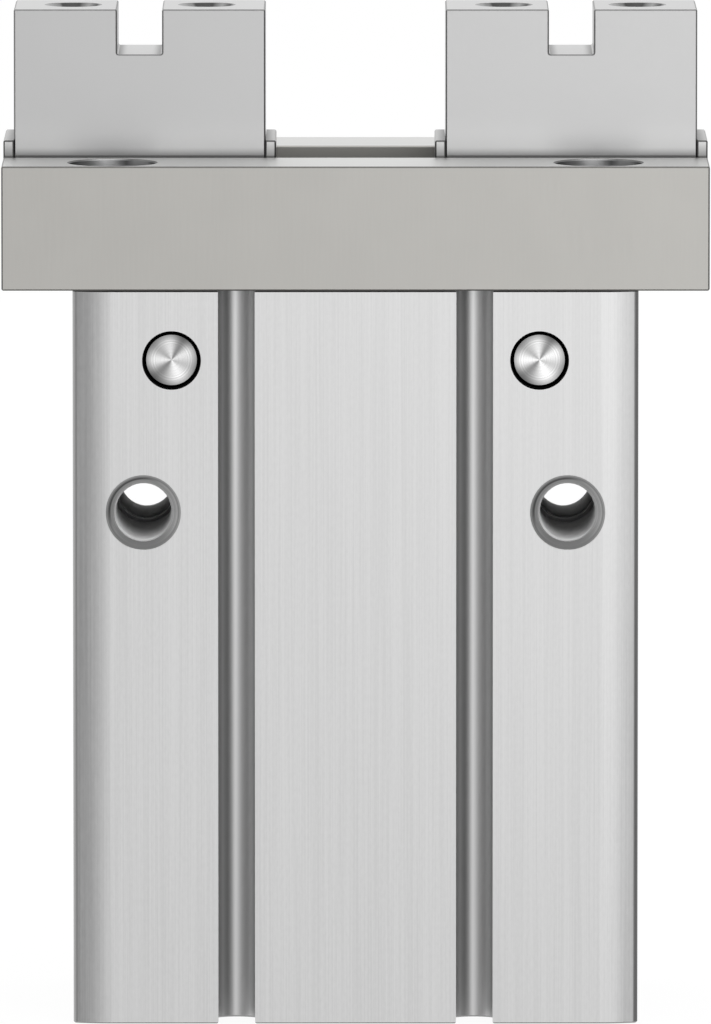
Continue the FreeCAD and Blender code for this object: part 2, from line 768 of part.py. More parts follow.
def build_plate_screws(name, side):
    """The two countersunk screws that hold the end plates of one jaw."""
    body = new_body(name, x=f"{side} * {JAW_CENTRE}")
    height = PLATE_SCREW_HEIGHT
    cone = "(plate_screw_head - plate_screw) / 2"
    head_size = number("plate_screw_head")
    for end in SIDES:
        face = f"{end} * {PLATE_FACE}"
        head = Outline(body, "YZ_Plane", face).circle("0", height, "plate_screw_head")
        pad(body, head, cone, backwards=end > 0)
        shank = Outline(body, "YZ_Plane", face).circle("0", height, "plate_screw - 2 * press_gap")
        pad(body, shank, "plate_screw_length", backwards=end > 0)
        rim = number(f"{face} - {end} * {cone}")

        def under_head(edge, rim=rim):
            return is_circle(edge, head_size) and near(edge.Curve.Center.x, rim)

        chamfer(body, f"{cone} - press_gap", under_head)
        half = "plate_screw / 2"
        slot = Outline(body, "YZ_Plane", face)
        slot.box(f"-{half}", half, f"{height} - side_gap", f"{height} + side_gap")
        pocket(body, slot, "side_gap", backwards=end < 0)


def build_roller(name, face, place):
    """One roller of a row. Neighbours lean to opposite sides."""
    lean = 1 if place % 2 else -1
    reach = "roller_length / 2 * sqrt(2) / 2"
    roller = doc.addObject("Part::Cylinder", name)
    roller.Placement.Rotation = FreeCAD.Rotation(FreeCAD.Vector(1, 0, 0), lean * ROLLER_LEAN)
    bind(roller, "Radius", "roller_diameter / 2")
    bind(roller, "Height", "roller_length")
    bind(roller, "Placement.Base.x", f"({place} - {ROLLERS_PER_ROW - 1} / 2) * roller_pitch")
    bind(roller, "Placement.Base.y", f"{face} * {TRACK_OFFSET} + {lean} * {reach}")
    bind(roller, "Placement.Base.z", f"{ROLLER_HEIGHT} - {reach}")
    return roller


def build_rollers(name, side):
    """The crossed rollers between one jaw and both walls of the channel, as one group."""
    group = doc.addObject("Part::Compound", name)
    group.Label = name
    bind(group, "Placement.Base.x", f"{side} * {JAW_CENTRE}")
    places = [(face, place) for face in SIDES for place in range(ROLLERS_PER_ROW)]
    group.Links = [build_roller(f"{name}_roller", face, place) for face, place in places]
    nodes.append(group)


# Piston and rod

def build_piston_rod():
    """The rod, with a grooved head for the levers and a spigot that carries the piston."""
    groove_low = f"({GROOVE_HEIGHT} - {NOSE_FIT})"
    groove_high = f"({GROOVE_HEIGHT} + {NOSE_FIT})"
    thread_end = f"({HEAD_SEAT} + screw_length + stop_gap)"
    turned(
        "piston_rod",
        ("screw_diameter / 2", SPIGOT_LOW),
        (SPIGOT_RADIUS, SPIGOT_LOW),
        (SPIGOT_RADIUS, PISTON_TOP),
        ("rod_diameter / 2", PISTON_TOP),
        ("rod_diameter / 2", f"{groove_low} - rod_flange"),
        ("rod_head / 2", f"{groove_low} - rod_flange"),
        ("rod_head / 2", groove_low),
        ("rod_core / 2", groove_low),
        ("rod_core / 2", groove_high),
        ("rod_head / 2", groove_high),
        ("rod_head / 2", f"{groove_high} + rod_flange"),
        ("0", f"{groove_high} + rod_flange"),
        ("0", thread_end),
        ("screw_diameter / 2", thread_end),
    )


def build_piston():
    """The piston, with grooves for its wear ring and its seal and a boss for the magnet."""
    packing = f"{SLIDING_RADIUS} - piston_seal_wall"
    wear = f"{SLIDING_RADIUS} - wear_wall"
    boss = "magnet_bore / 2 - press_gap"
    spigot = f"{SPIGOT_RADIUS} + press_gap"
    shank = "screw_diameter / 2 + side_gap"
    screw_head = "screw_head / 2 + side_gap"
    turned(
        "piston",
        (screw_head, PISTON_LOW),
        (PISTON_RADIUS, PISTON_LOW),
        (PISTON_RADIUS, WEAR_LOW),
        (wear, WEAR_LOW),
        (wear, WEAR_TOP),
        (PISTON_RADIUS, WEAR_TOP),
        (PISTON_RADIUS, PACKING_LOW),
        (packing, PACKING_LOW),
        (packing, PACKING_TOP),
        (PISTON_RADIUS, PACKING_TOP),
        (PISTON_RADIUS, MAGNET_LOW),
        (boss, MAGNET_LOW),
        (boss, COVER_LOW),
        (spigot, COVER_LOW),
        (spigot, SPIGOT_LOW),
        (shank, SPIGOT_LOW),
        (shank, HEAD_SEAT),
        (screw_head, HEAD_SEAT),
    )


def build_piston_rings():
    """The wear ring, the double-lipped seal and the magnet of the piston."""
    wear = f"{SLIDING_RADIUS} - wear_wall"
    turned(
        "wear_ring",
        (wear, WEAR_LOW),
        (SLIDING_RADIUS, WEAR_LOW),
        (SLIDING_RADIUS, WEAR_TOP),
        (wear, WEAR_TOP),
    )
    packing = f"{SLIDING_RADIUS} - piston_seal_wall"
    turned(
        "piston_seal",
        (packing, PACKING_LOW),
        (SLIDING_RADIUS, PACKING_LOW),
        (f"{SLIDING_RADIUS} - piston_seal_wall / 3", f"({PACKING_LOW} + {PACKING_TOP}) / 2"),
        (SLIDING_RADIUS, PACKING_TOP),
        (packing, PACKING_TOP),
    )
    turned("magnet_ring", *ring_corners("magnet_bore", "(bore - 4 * side_gap)", MAGNET_LOW, COVER_LOW))


def build_piston_cover():
    """The disc that clamps the magnet and carries the upper bumper."""
    spigot = f"{SPIGOT_RADIUS} + press_gap"
    rim = "bore / 2 - 2 * side_gap"
    seat = f"({PISTON_TOP} - {BUMPER_SEAT})"
    turned(
        "piston_cover",
        (spigot, COVER_LOW),
        (rim, COVER_LOW),
        (rim, PISTON_TOP),
        (f"{BUMPER_OUTER} / 2", PISTON_TOP),
        (f"{BUMPER_OUTER} / 2", seat),
        (f"{BUMPER_INNER} / 2", seat),
        (f"{BUMPER_INNER} / 2", PISTON_TOP),
        (spigot, PISTON_TOP),
    )
    turned("upper_bumper", *bumper_corners(PISTON_TOP))


def bumper_corners(face):
    """The outline of a bumper ring that stands proud of a face."""
    return ring_corners(
        f"({BUMPER_INNER} + 2 * press_gap)",
        f"({BUMPER_OUTER} - 2 * press_gap)",
        f"({face} - {BUMPER_SEAT})",
        f"({face} + bumper_rise)",
    )


def build_piston_screw():
    """The socket screw that pulls the piston onto the rod."""
    low = f"({HEAD_SEAT} - screw_diameter)"
    shank = "screw_diameter / 2 - press_gap"
    body = turned(
        "piston_screw",
        ("0", low),
        ("screw_head / 2", low),
        ("screw_head / 2", HEAD_SEAT),
        (shank, HEAD_SEAT),
        (shank, f"{HEAD_SEAT} + screw_length"),
        ("0", f"{HEAD_SEAT} + screw_length"),
    )
    socket = Outline(body, "XY_Plane", low).hexagon("0", "0", "screw_socket")
    pocket(body, socket, "screw_diameter / 2", backwards=True)


# Pieces that close and seal the cylinder

def build_rod_bearing():
    """The rod's bush, its lipped seal and the disc that keeps the seal in."""
    bush_bore = "(rod_diameter + 2 * run_gap)"
    bush_rim = f"(2 * {BUSH_RADIUS} - 2 * press_gap)"
    turned("rod_bush", *ring_corners(bush_bore, bush_rim, BUSH_LOW, CHAMBER_FLOOR))
    lip = "rod_diameter / 2 + run_gap"
    back = "rod_diameter / 2 + 2 * side_gap"
    outside = f"{SEAL_RADIUS} - press_gap"
    turned(
        "rod_seal",
        (back, RETAINER_TOP),
        (outside, RETAINER_TOP),
        (outside, SEAL_TOP),
        (back, SEAL_TOP),
        (lip, f"{SEAL_TOP} - seal_height / 3"),
        (lip, f"{SEAL_TOP} - seal_height / 2"),
    )
    turned(
        "seal_retainer",
        *ring_corners(
            "(rod_diameter + 2 * side_gap)",
            f"(2 * {RETAINER_RADIUS} - 2 * press_gap)",
            f"({BORE_TOP} + stop_gap)",
            RETAINER_TOP,
        ),
    )


def build_end_cap():
    """The cap that closes the cylinder, with its seal and the lower bumper."""
    wall = "bore / 2 - press_gap"
    neck = "bore / 2 - cap_step"
    groove = "bore / 2 - cord_wall"
    groove_low = f"({CLIP_TOP} + cord_land)"
    groove_high = f"({groove_low} + cord_wall + 2 * side_gap)"
    neck_low = f"({groove_high} + cord_land)"
    seat = f"({CAP_TOP} - {BUMPER_SEAT})"
    turned(
        "end_cap",
        ("0", f"{CLIP_TOP} + clip_thickness"),
        ("cap_recess / 2", f"{CLIP_TOP} + clip_thickness"),
        ("cap_recess / 2", CLIP_TOP),
        (wall, CLIP_TOP),
        (wall, groove_low),
        (groove, groove_low),
        (groove, groove_high),
        (wall, groove_high),
        (wall, neck_low),
        (neck, neck_low),
        (neck, CAP_TOP),
        (f"{BUMPER_OUTER} / 2", CAP_TOP),
        (f"{BUMPER_OUTER} / 2", seat),
        (f"{BUMPER_INNER} / 2", seat),
        (f"{BUMPER_INNER} / 2", CAP_TOP),
        ("0", CAP_TOP),
    )
    turned("lower_bumper", *bumper_corners(CAP_TOP))
    inside = "bore / 2 - cord_wall + press_gap"
    shoulder = "bore / 2 - cord_wall / 3"
    cord_low = f"({groove_low} + side_gap)"
    turned(
        "end_cap_seal",
        (inside, cord_low),
        (shoulder, cord_low),
        (wall, f"{cord_low} + cord_wall / 4"),
        (wall, f"{cord_low} + cord_wall * 3 / 4"),
        (shoulder, f"{cord_low} + cord_wall"),
        (inside, f"{cord_low} + cord_wall"),
    )


def build_retaining_ring():
    """The open spring ring that holds the end cap in the bore."""
    body = new_body("retaining_ring")
    inside = f"({CLIP_RADIUS} - clip_width)"
    band = Outline(body, "XY_Plane", "clip_low")
    band.circle("0", "0", f"2 * ({CLIP_RADIUS} - press_gap)")
    band.circle("0", "0", f"2 * {inside}")
    pad(body, band, "clip_thickness")
    lugs = Outline(body, "XY_Plane", "clip_low")
    eyes = Outline(body, "XY_Plane")
    for side in SIDES:
        x, y = f"{side} * (clip_opening + clip_lug) / 2", f"-({inside} - clip_lug / 4)"
        lugs.circle(x, y, "clip_lug")
        eyes.circle(x, y, "clip_eye")
    pad(body, lugs, "clip_thickness")
    drill(body, eyes)
    half = "clip_opening / 2"
    drill(body, Outline(body, "XY_Plane").box(f"-{half}", half, f"-2 * {CLIP_RADIUS}", "0"))


def export_nodes():
    """Check every object of the document, then write one file for each sub-part."""
    doc.recompute()
    for thing in doc.Objects:
        if "Invalid" in thing.State or "Error" in thing.State:
            raise RuntimeError(f"{thing.Name} failed: {thing.State}")
    os.makedirs(PARTS_FOLDER, exist_ok=True)
    for node in nodes:
        if node.Shape.isNull() or not node.Shape.isValid():
            raise RuntimeError(f"{node.Label} has no valid shape")
        node.Shape.exportStep(os.path.join(PARTS_FOLDER, f"{node.Label}.step"))


fill_sheet()
build_body()
build_guide_plate()
build_guide_screws()
for hand, direction in zip(("left", "right"), SIDES):
    build_lever(f"lever_{hand}", direction)
    build_lever_pin(f"lever_pin_{hand}", direction)
    build_jaw(f"jaw_{hand}", direction)
    build_end_plate(f"outer_plate_{hand}", direction, direction)
    build_end_plate(f"inner_plate_{hand}", direction, -direction)
    build_plate_screws(f"plate_screws_{hand}", direction)
    build_rollers(f"rollers_{hand}", direction)
build_piston_rod()
build_piston()
build_piston_rings()
build_piston_cover()
build_piston_screw()
build_rod_bearing()
build_end_cap()
build_retaining_ring()
export_nodes()
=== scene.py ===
"""Looks of the pneumatic parallel gripper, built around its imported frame."""
import json
import math
from dataclasses import dataclass

import bmesh
import bpy
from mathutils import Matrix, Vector


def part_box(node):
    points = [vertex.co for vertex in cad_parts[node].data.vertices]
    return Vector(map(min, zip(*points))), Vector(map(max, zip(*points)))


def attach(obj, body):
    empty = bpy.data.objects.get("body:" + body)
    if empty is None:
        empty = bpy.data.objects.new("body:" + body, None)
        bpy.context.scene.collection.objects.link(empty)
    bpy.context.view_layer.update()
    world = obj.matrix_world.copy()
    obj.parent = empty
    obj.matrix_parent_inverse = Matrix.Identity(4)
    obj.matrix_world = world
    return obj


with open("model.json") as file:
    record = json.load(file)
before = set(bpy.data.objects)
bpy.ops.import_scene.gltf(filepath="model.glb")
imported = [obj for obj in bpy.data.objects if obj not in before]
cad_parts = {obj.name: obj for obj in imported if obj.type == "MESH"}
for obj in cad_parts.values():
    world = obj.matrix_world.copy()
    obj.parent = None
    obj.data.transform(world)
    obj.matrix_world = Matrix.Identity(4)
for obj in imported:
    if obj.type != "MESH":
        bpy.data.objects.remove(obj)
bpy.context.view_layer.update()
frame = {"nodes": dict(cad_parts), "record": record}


@dataclass(frozen=True)
class Pattern:
    """A cloudy pattern: its scale per metre, its detail, and how it is stretched and moved."""

    scale: float
    detail: float = 2.0
    stretch: tuple = (1.0, 1.0, 1.0)
    move: tuple = (0.0, 0.0, 0.0)


@dataclass(frozen=True)
class Thread:
    """A coarse thread: its pitch, and the length of its ridge along the hole."""

    pitch: float
    length: float


MM = 0.001
SIDES = (-1, 1)
HANDS = ("left", "right")
AXES = "xyz"

# Sockets of the mix node that hold colours
MIX_FIRST = 6
MIX_SECOND = 7
MIX_RESULT = 2

# Camera, as fitted to the edges in the photograph
CAMERA_DISTANCE = 1209.4 * MM
CAMERA_ELEVATION = math.radians(6.0571)
CAMERA_TARGET = Vector((0.0, -12.5 * MM, 36.502 * MM))
CAMERA_SENSOR = 36.0
CAMERA_LENS = 601.48
CAMERA_NEAR = 0.05
CAMERA_FAR = 20.0

# Floor
FLOOR_SIZE = 6.0
FLOOR_GAP = 0.05 * MM
FLOOR_GREY = 0.85
FLOOR_ROUGHNESS = 0.9
FLOOR_GLOW = 1.04
FLOOR_GLOW_SHARE = 0.9

# Soft boxes: name, place and size in metres, power in watts
LAMPS = (
    ("front_lamp", (0.1, -0.24, 0.117), 0.26, 0.12),
    ("top_lamp", (0.1, 0.1, 0.9), 0.7, 1.4),
)

# Brightness of the surround in metal, by degrees to the right of the camera
SURROUND = (
    (-180.0, 1.0),
    (-130.0, 0.9),
    (-90.0, 0.85),
    (-60.0, 0.7),
    (-40.0, 0.25),
    (-20.0, 0.5),
    (0.0, 1.1),
    (10.0, 1.2),
    (25.0, 0.75),
    (40.0, 0.4),
    (70.0, 0.3),
    (90.0, 0.8),
    (110.0, 0.3),
    (150.0, 0.65),
    (180.0, 1.0),
)

# How the surround changes below the horizon, by the height and the depth of a direction
HORIZON_LIMITS = (-0.3, -0.06)
DEPTH_LIMITS = (-0.5, 0.5)
GROUND_FRONT = 0.55
GROUND_BACK = 1.1
FLOOR_LIMITS = (-0.3, -0.55)
FLOOR_TONE = 0.8

# Brightness of the surround for what is not metal
PLAIN_TONE = 0.7

# Painted reflection on the faced ends of the pins: brightness of a fan, by degrees from the right
PAINTED_FAN = (
    (-180.0, 0.8),
    (-135.0, 0.25),
    (-65.0, 0.85),
    (-20.0, 0.5),
    (25.0, 0.8),
    (60.0, 0.25),
    (95.0, 0.7),
    (140.0, 0.4),
    (180.0, 0.8),
)

# Painted highlights and shade in the threads of the jaws: brightness by how far their walls face to the
# right
THREAD_PAINTED_SHINE = (
    (-1.0, 0.15),
    (-0.75, 0.15),
    (-0.7, 0.5),
    (-0.6, 0.1),
    (-0.4, 0.4),
    (-0.15, 0.07),
    (0.3, 0.07),
    (0.55, 0.7),
    (0.7, 0.7),
    (0.75, 0.15),
    (1.0, 0.15),
)

# Painted reflection and shade in the counterbores of the guide plate: brightness by how far their walls face
# to the right
BORE_PAINTED_SHINE = (
    (-1.0, 0.15),
    (-0.8, 0.45),
    (-0.5, 0.45),
    (-0.3, 0.2),
    (-0.1, 0.4),
    (0.2, 0.55),
    (0.5, 0.35),
    (0.85, 0.18),
    (1.0, 0.12),
)

# Painted reflection and shade on the drawn walls of the sensor slots: brightness by how far they face to the
# right
SLOT_PAINTED_SHINE = (
    (-1.0, 0.5),
    (-0.68, 0.48),
    (-0.5, 0.95),
    (-0.38, 0.92),
    (-0.2, 0.64),
    (0.05, 0.64),
    (0.2, 0.46),
    (0.37, 0.47),
    (0.55, 0.76),
    (0.68, 0.5),
    (1.0, 0.55),
)

# Patterns of the finishes, and their shares where they are mixed
FINE_LINES = Pattern(9000.0, stretch=(1.0, 1.0, 0.006))
BROAD_LINES = Pattern(1400.0, detail=3.0, stretch=(1.0, 1.0, 0.012), move=(0.3, 0.1, 0.7))
LINE_GRAIN = Pattern(5000.0, detail=3.0, stretch=(1.0, 1.0, 0.4))
UPRIGHT_GRINDING = Pattern(5200.0, detail=3.0, stretch=(1.0, 1.0, 0.05))
EVEN_GRINDING = Pattern(5200.0, detail=3.0)
GROUND_CLOUD = Pattern(260.0, move=(0.2, 0.5, 0.1))
SATIN_CLOUD = Pattern(3200.0, detail=3.0)
MOULD_GRAIN = Pattern(6000.0, detail=4.0)
FINE_SHARE = 0.6
GRAIN_SHARE = 0.25

# Scale of the rings on turned faces, per metre
LATHE_RINGS = 9000.0
PIN_RINGS = 11000.0

# Limits of the soft steps in the finishes, of broken edges and of outer faces
PATTERN_LIMITS = (0.3, 0.7)
RING_LIMITS = (0.35, 0.65)
FLAT_LIMITS = (0.9, 0.95)
EDGE_LIMIT = 0.93
EDGE_BREAK = 0.105 * MM
SKIN = 0.02 * MM

# Housing: places of its slots, corners and pins, its surface, and tones as shares of its colour; apart from
# the streaks, the tones are painted light and shade
SLOT_X = 8.42 * MM
SLOT_HALF = 1.85 * MM
SLOT_LIP = 0.06 * MM
CORNER_WIDTH = 0.3 * MM
CORNER_LIMITS = (0.98, 0.94)
PIN_MOUTH = 2.08 * MM
FACE_ROUGHNESS = (0.33, 0.39)
SLOT_ROUGHNESS = 0.31
HOLE_ROUGHNESS = 0.6
SLOT_METALLIC = 0.85
HOUSING_SPECULAR = 0.1
STREAK_TONES = (0.92, 1.06)
LEFT_CORNER_SHADE = 0.7
RIGHT_CORNER_SHADE = 0.4
BASE_EDGE_SHADE = 0.55
TOP_EDGE_SHADE = 0.15
PIN_MOUTH_SHADE = 0.02

# Cross holes: sizes of their countersinks and walls, the sides where light or shade is painted, and tones,
# most of them painted light and shade
MOUTH_REACH = 2.72 * MM
MOUTH_DEPTH = 0.46 * MM
MOUTH_TONES = (0.45, 0.78)
DARK_RING = 2.4 * MM
DARK_RING_WIDTH = 0.13 * MM
DARK_RING_SIDE = (0.7, 0.0, -0.7)
DARK_RING_LIMITS = (0.1, 0.5)
DARK_RING_SHADE = 0.15
MOUTH_SIDE_LIMITS = (0.1, 0.7)
MOUTH_LOW_SHADE = 0.4
MOUTH_LIT_SIDE = (-0.96, 0.0, 0.28)
MOUTH_PAINTED_LIGHT_GAIN = 1.3
WALL_LIT_SIDE = (0.35, 0.0, 0.94)
WALL_LIT_LIMITS = (0.3, 0.95)
WALL_LIT_DEPTH = 3.0 * MM
WALL_DARK_DEPTH = 9.0 * MM
WALL_DARK = (0.55, 0.55, 0.55, 1.0)
WALL_LIT = (0.82, 0.82, 0.82, 1.0)

# Guide plate: places of its channel and screws, and tones of painted light and shade
CHANNEL_REACH = 5.5 * MM
CHANNEL_FLOOR = 1.9 * MM
SCREW_HEAD = 2.75 * MM
COUNTERBORE_REACH = 3.3 * MM
PLATE_TOP_LIGHT = (0.69, 0.69, 0.68, 1.0)
CHANNEL_SHADE = 0.75
PLATE_EDGE_SHADE = 0.33

# Jaws and their end plates: places of groove, foot and threads, and tones of painted light and shade
GROOVE_DEPTH = 3.2 * MM
GROOVE_HALF = 1.6 * MM
GROOVE_SHADE = 0.75 * MM
GROOVE_END_SHADE = 0.3
FOOT_LINE = 0.12 * MM
FOOT_LINE_SHADE = 0.3
FOOT_SHADE = 0.75 * MM
FOOT_SHADE_TONE = 0.5
JAW_TOP_LIGHT = 1.12
JAW_EDGE_SHADE = 0.42
JAW_MOUTH_REACH = 2.06 * MM
END_TOP_LIGHT_AND_SHADE = (0.45, 1.2)
END_FRONT_LIGHT_AND_SHADE = (0.7, 1.4)
END_FOOT_SHADE = 0.4
END_EDGE_LIMITS = (0.2, 0.6)
END_EDGE_SHADE = 0.22

# Pins: reach of the faced end, where the painted shade on its rim starts and ends, tones of rings and of
# painted shade, and surface
PIN_FACE = 1.79 * MM
PIN_RIM_LIMITS = (0.65 * PIN_FACE, 1.1 * PIN_FACE)
PIN_RIM_SHADE = 0.35
PIN_RING_TONES = (0.85, 1.2)
PIN_SIDE_SHADE = (0.004, 0.004, 0.004, 1.0)
PIN_SIDE_ROUGHNESS = 0.6
PIN_FACE_ROUGHNESS = 0.26
PIN_ANISOTROPY = 0.6

# Threads of 5 mm in the housing and of 4 mm in the jaws
BASE_THREAD = Thread(pitch=0.8 * MM, length=6.0 * MM)
PORT_THREAD = Thread(pitch=0.8 * MM, length=4.4 * MM)
CROSS_THREAD = Thread(pitch=0.8 * MM, length=8.0 * MM)
JAW_THREAD = Thread(pitch=0.7 * MM, length=6.4 * MM)
THREAD_START = 0.75 * MM

# Ridge of a thread: its section, with foot and tip as shares of the pitch
RIDGE_HEIGHT = 0.15 * MM
RIDGE_ROOT = 0.03 * MM
RIDGE_FOOT = 0.4
RIDGE_TIP = 0.08

# Steps of a ridge in one turn, and in the fade at each of its ends
RIDGE_STEPS = 36
RIDGE_FADE = 9


class Nodes:
    """Short calls that add shader nodes to a tree."""

    def __init__(self, tree):
        self.tree = tree

    def add(self, kind, **settings):
        """A new node with some of its settings."""
        node = self.tree.nodes.new(kind)
        for name, value in settings.items():
            setattr(node, name, value)
        return node

    def find(self, kind):
        """A node of some type that the tree has from the start."""
        return next(node for node in self.tree.nodes if node.type == kind)

    def feed(self, target, source):
        """Give an input a number, a colour or the output of another node."""
        if isinstance(source, bpy.types.NodeSocket):
            self.tree.links.new(source, target)
        else:
            target.default_value = source

    def fill(self, node, *values):
        """Feed the first inputs of a node and return its first output."""
        for target, value in zip(node.inputs, values):
            self.feed(target, value)
        return node.outputs[0]

    def maths(self, operation, *values):
        """A sum, a product or another operation on numbers."""
        return self.fill(self.add("ShaderNodeMath", operation=operation), *values)

    def chain(self, operation, values):
        """One operation through several numbers, from the first to the last."""
        result = values[0]
        for value in values[1:]:
            result = self.maths(operation, result, value)
        return result

    def product(self, *values):
        """Several numbers multiplied, which joins masks."""
        return self.chain("MULTIPLY", values)

    def largest(self, *values):
        """The largest of several numbers."""
        return self.chain("MAXIMUM", values)

    def smallest(self, *values):
        """The smallest of several numbers."""
        return self.chain("MINIMUM", values)

    def rest(self, share):
        """What a share leaves of 1."""
        return self.maths("SUBTRACT", 1.0, share)

    def below(self, value, limit):
        """1 where a value is less than a limit, and 0 elsewhere."""
        return self.maths("LESS_THAN", value, limit)

    def above(self, value, limit):
        """1 where a value is more than a limit, and 0 elsewhere."""
        return self.maths("GREATER_THAN", value, limit)

    def magnitude(self, value):
        """A number without its sign."""
        return self.maths("ABSOLUTE", value)

    def mean(self, share, first, second):
        """A mean of two numbers that takes a share of the first."""
        return self.maths("MULTIPLY_ADD", first, share, self.product(second, 1.0 - share))

    def vectors(self, operation, *values):
        """An operation on vectors that gives a vector."""
        return self.fill(self.add("ShaderNodeVectorMath", operation=operation), *values)

    def parts(self, vector):
        """The x, y and z of a vector."""
        node = self.add("ShaderNodeSeparateXYZ")
        self.feed(node.inputs[0], vector)
        return node.outputs

    def length(self, vector):
        """The length of a vector."""
        node = self.add("ShaderNodeVectorMath", operation="LENGTH")
        self.feed(node.inputs[0], vector)
        return node.outputs["Value"]

    def lean(self, vector, direction):
        """How far a vector points in a direction, from -1 to 1."""
        node = self.add("ShaderNodeVectorMath", operation="DOT_PRODUCT")
        self.feed(node.inputs[0], vector)
        self.feed(node.inputs[1], direction)
        return node.outputs["Value"]

    def turn(self, side, front):
        """The angle of a direction in degrees, from its two parts."""
        return self.maths("DEGREES", self.maths("ARCTAN2", side, front))

    def between(self, share, low, high):
        """A number that goes from low to high with a share."""
        return self.fill(self.add("ShaderNodeMapRange"), share, 0.0, 1.0, low, high)

    def rise(self, value, start, end):
        """A smooth step from 0 at start to 1 at end."""
        step = self.add("ShaderNodeMapRange", interpolation_type="SMOOTHSTEP")
        return self.fill(step, value, start, end, 0.0, 1.0)

    def blend(self, share, first, second):
        """A colour between two others."""
        node = self.add("ShaderNodeMix", data_type="RGBA")
        self.feed(node.inputs["Factor"], share)
        self.feed(node.inputs[MIX_FIRST], first)
        self.feed(node.inputs[MIX_SECOND], second)
        return node.outputs[MIX_RESULT]

    def mix(self, share, first, second):
        """A shader between two others."""
        return self.fill(self.add("ShaderNodeMixShader"), share, first, second)

    def ramp(self, value, stops, kind):
        """A tone that goes through some stops as a value goes from the first of them to the last."""
        first = stops[0][0]
        last = stops[-1][0]
        node = self.add("ShaderNodeValToRGB")
        node.color_ramp.interpolation = kind
        elements = node.color_ramp.elements
        # A new ramp has two elements
        for _ in stops[2:]:
            elements.new(0.5)
        for element, (place, tone) in zip(elements, stops):
            element.position = (place - first) / (last - first)
            element.color = (tone, tone, tone, 1.0)
        share = self.fill(self.add("ShaderNodeMapRange"), value, first, last, 0.0, 1.0)
        self.feed(node.inputs[0], share)
        return node.outputs[0]

    def bands(self, distance, scale, detail=2.0):
        """A pattern of uneven bands along one distance."""
        node = self.add("ShaderNodeTexNoise", noise_dimensions="1D")
        self.feed(node.inputs["W"], distance)
        node.inputs["Scale"].default_value = scale
        node.inputs["Detail"].default_value = detail
        return node.outputs["Fac"]


class Finish(Nodes):
    """A material with one Principled shader."""

    def __init__(self, name, colour, metallic, roughness):
        self.material = bpy.data.materials.new(name)
        self.material.use_nodes = True
        super().__init__(self.material.node_tree)
        self.shader = self.find("BSDF_PRINCIPLED")
        places = self.add("ShaderNodeTexCoord")
        self.point = places.outputs["Object"]
        self.normal = places.outputs["Normal"]
        self.colour = colour
        self.roughness = roughness
        self.use("Base Color", (*colour, 1.0))
        self.use("Metallic", metallic)
        self.use("Roughness", roughness)

    def use(self, socket, source):
        """Set or drive an input of the shader."""
        self.feed(self.shader.inputs[socket], source)

    def tint(self, factor):
        """The finish's own colour, lighter or darker."""
        return (*(min(1.0, channel * factor) for channel in self.colour), 1.0)

    def tints(self, share, low, high):
        """The finish's own colour, between two tints."""
        return self.blend(share, self.tint(low), self.tint(high))

    def cloud(self, pattern):
        """A pattern on the surface, between 0 and 1."""
        place = self.add("ShaderNodeMapping")
        self.feed(place.inputs["Vector"], self.point)
        place.inputs["Location"].default_value = pattern.move
        place.inputs["Scale"].default_value = pattern.stretch
        node = self.add("ShaderNodeTexNoise")
        self.feed(node.inputs["Vector"], place.outputs[0])
        node.inputs["Scale"].default_value = pattern.scale
        node.inputs["Detail"].default_value = pattern.detail
        return node.outputs["Fac"]

    def uneven(self, share, spread):
        """Let the roughness vary with a pattern."""
        self.use("Roughness", self.between(share, self.roughness - spread, self.roughness + spread))

    def bump(self, height, strength, distance):
        """Let a pattern raise the surface by a small distance."""
        node = self.add("ShaderNodeBump")
        node.inputs["Strength"].default_value = strength
        node.inputs["Distance"].default_value = distance
        self.feed(node.inputs["Height"], height)
        self.use("Normal", node.outputs[0])

    def facing(self, axis):
        """How squarely the surface faces along an axis, from 0 to 1."""
        return self.magnitude(self.parts(self.normal)[AXES.index(axis)])

    def flat(self, axis):
        """1 on the faces square to an axis, and 0 elsewhere."""
        return self.rise(self.facing(axis), *FLAT_LIMITS)

    def shine(self, stops):
        """A painted tone of light and shade that changes with how far the surface faces to the right."""
        return self.ramp(self.parts(self.normal)[0], stops, "LINEAR")

    def across(self, centre, axis):
        """The way from an axis through a centre to the surface."""
        moved = self.vectors("SUBTRACT", self.point, tuple(centre))
        keep = tuple(0.0 if name == axis else 1.0 for name in AXES)
        return self.vectors("MULTIPLY", moved, keep)

    def nearest(self, centres, axis):
        """The distance from the surface to the nearest of some parallel axes."""
        return self.smallest(*(self.length(self.across(centre, axis)) for centre in centres))

    def inward(self, centres, axis):
        """The direction from the surface to the nearer of two parallel axes."""
        first, second = (self.across(centre, axis) for centre in centres)
        nearer = self.below(self.length(first), self.length(second))
        way = self.blend(nearer, second, first)
        return self.vectors("NORMALIZE", self.vectors("MULTIPLY", way, (-1.0, -1.0, -1.0)))

    def around(self, centres, axis, reach):
        """1 within a distance of any of some parallel axes, and 0 elsewhere."""
        return self.below(self.nearest(centres, axis), reach)

    def broken_edges(self, low, high, axes=AXES):
        """1 on the narrow broken edges along the outer faces of a block, and 0 elsewhere."""
        place = self.parts(self.point)
        found = []
        for axis in axes:
            index = AXES.index(axis)
            near_low = self.below(place[index], low[index] + EDGE_BREAK)
            near_high = self.above(place[index], high[index] - EDGE_BREAK)
            turned = self.below(self.facing(axis), EDGE_LIMIT)
            found.append(self.product(self.largest(near_low, near_high), turned))
        return self.largest(*found)


# Places that come from the frame

def middle_of(node):
    """The middle of a node's box."""
    low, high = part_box(node)
    return (low + high) / 2


def mount(name):
    """A mount of the record."""
    return next(entry for entry in frame["record"]["mounts"] if entry["name"] == name)


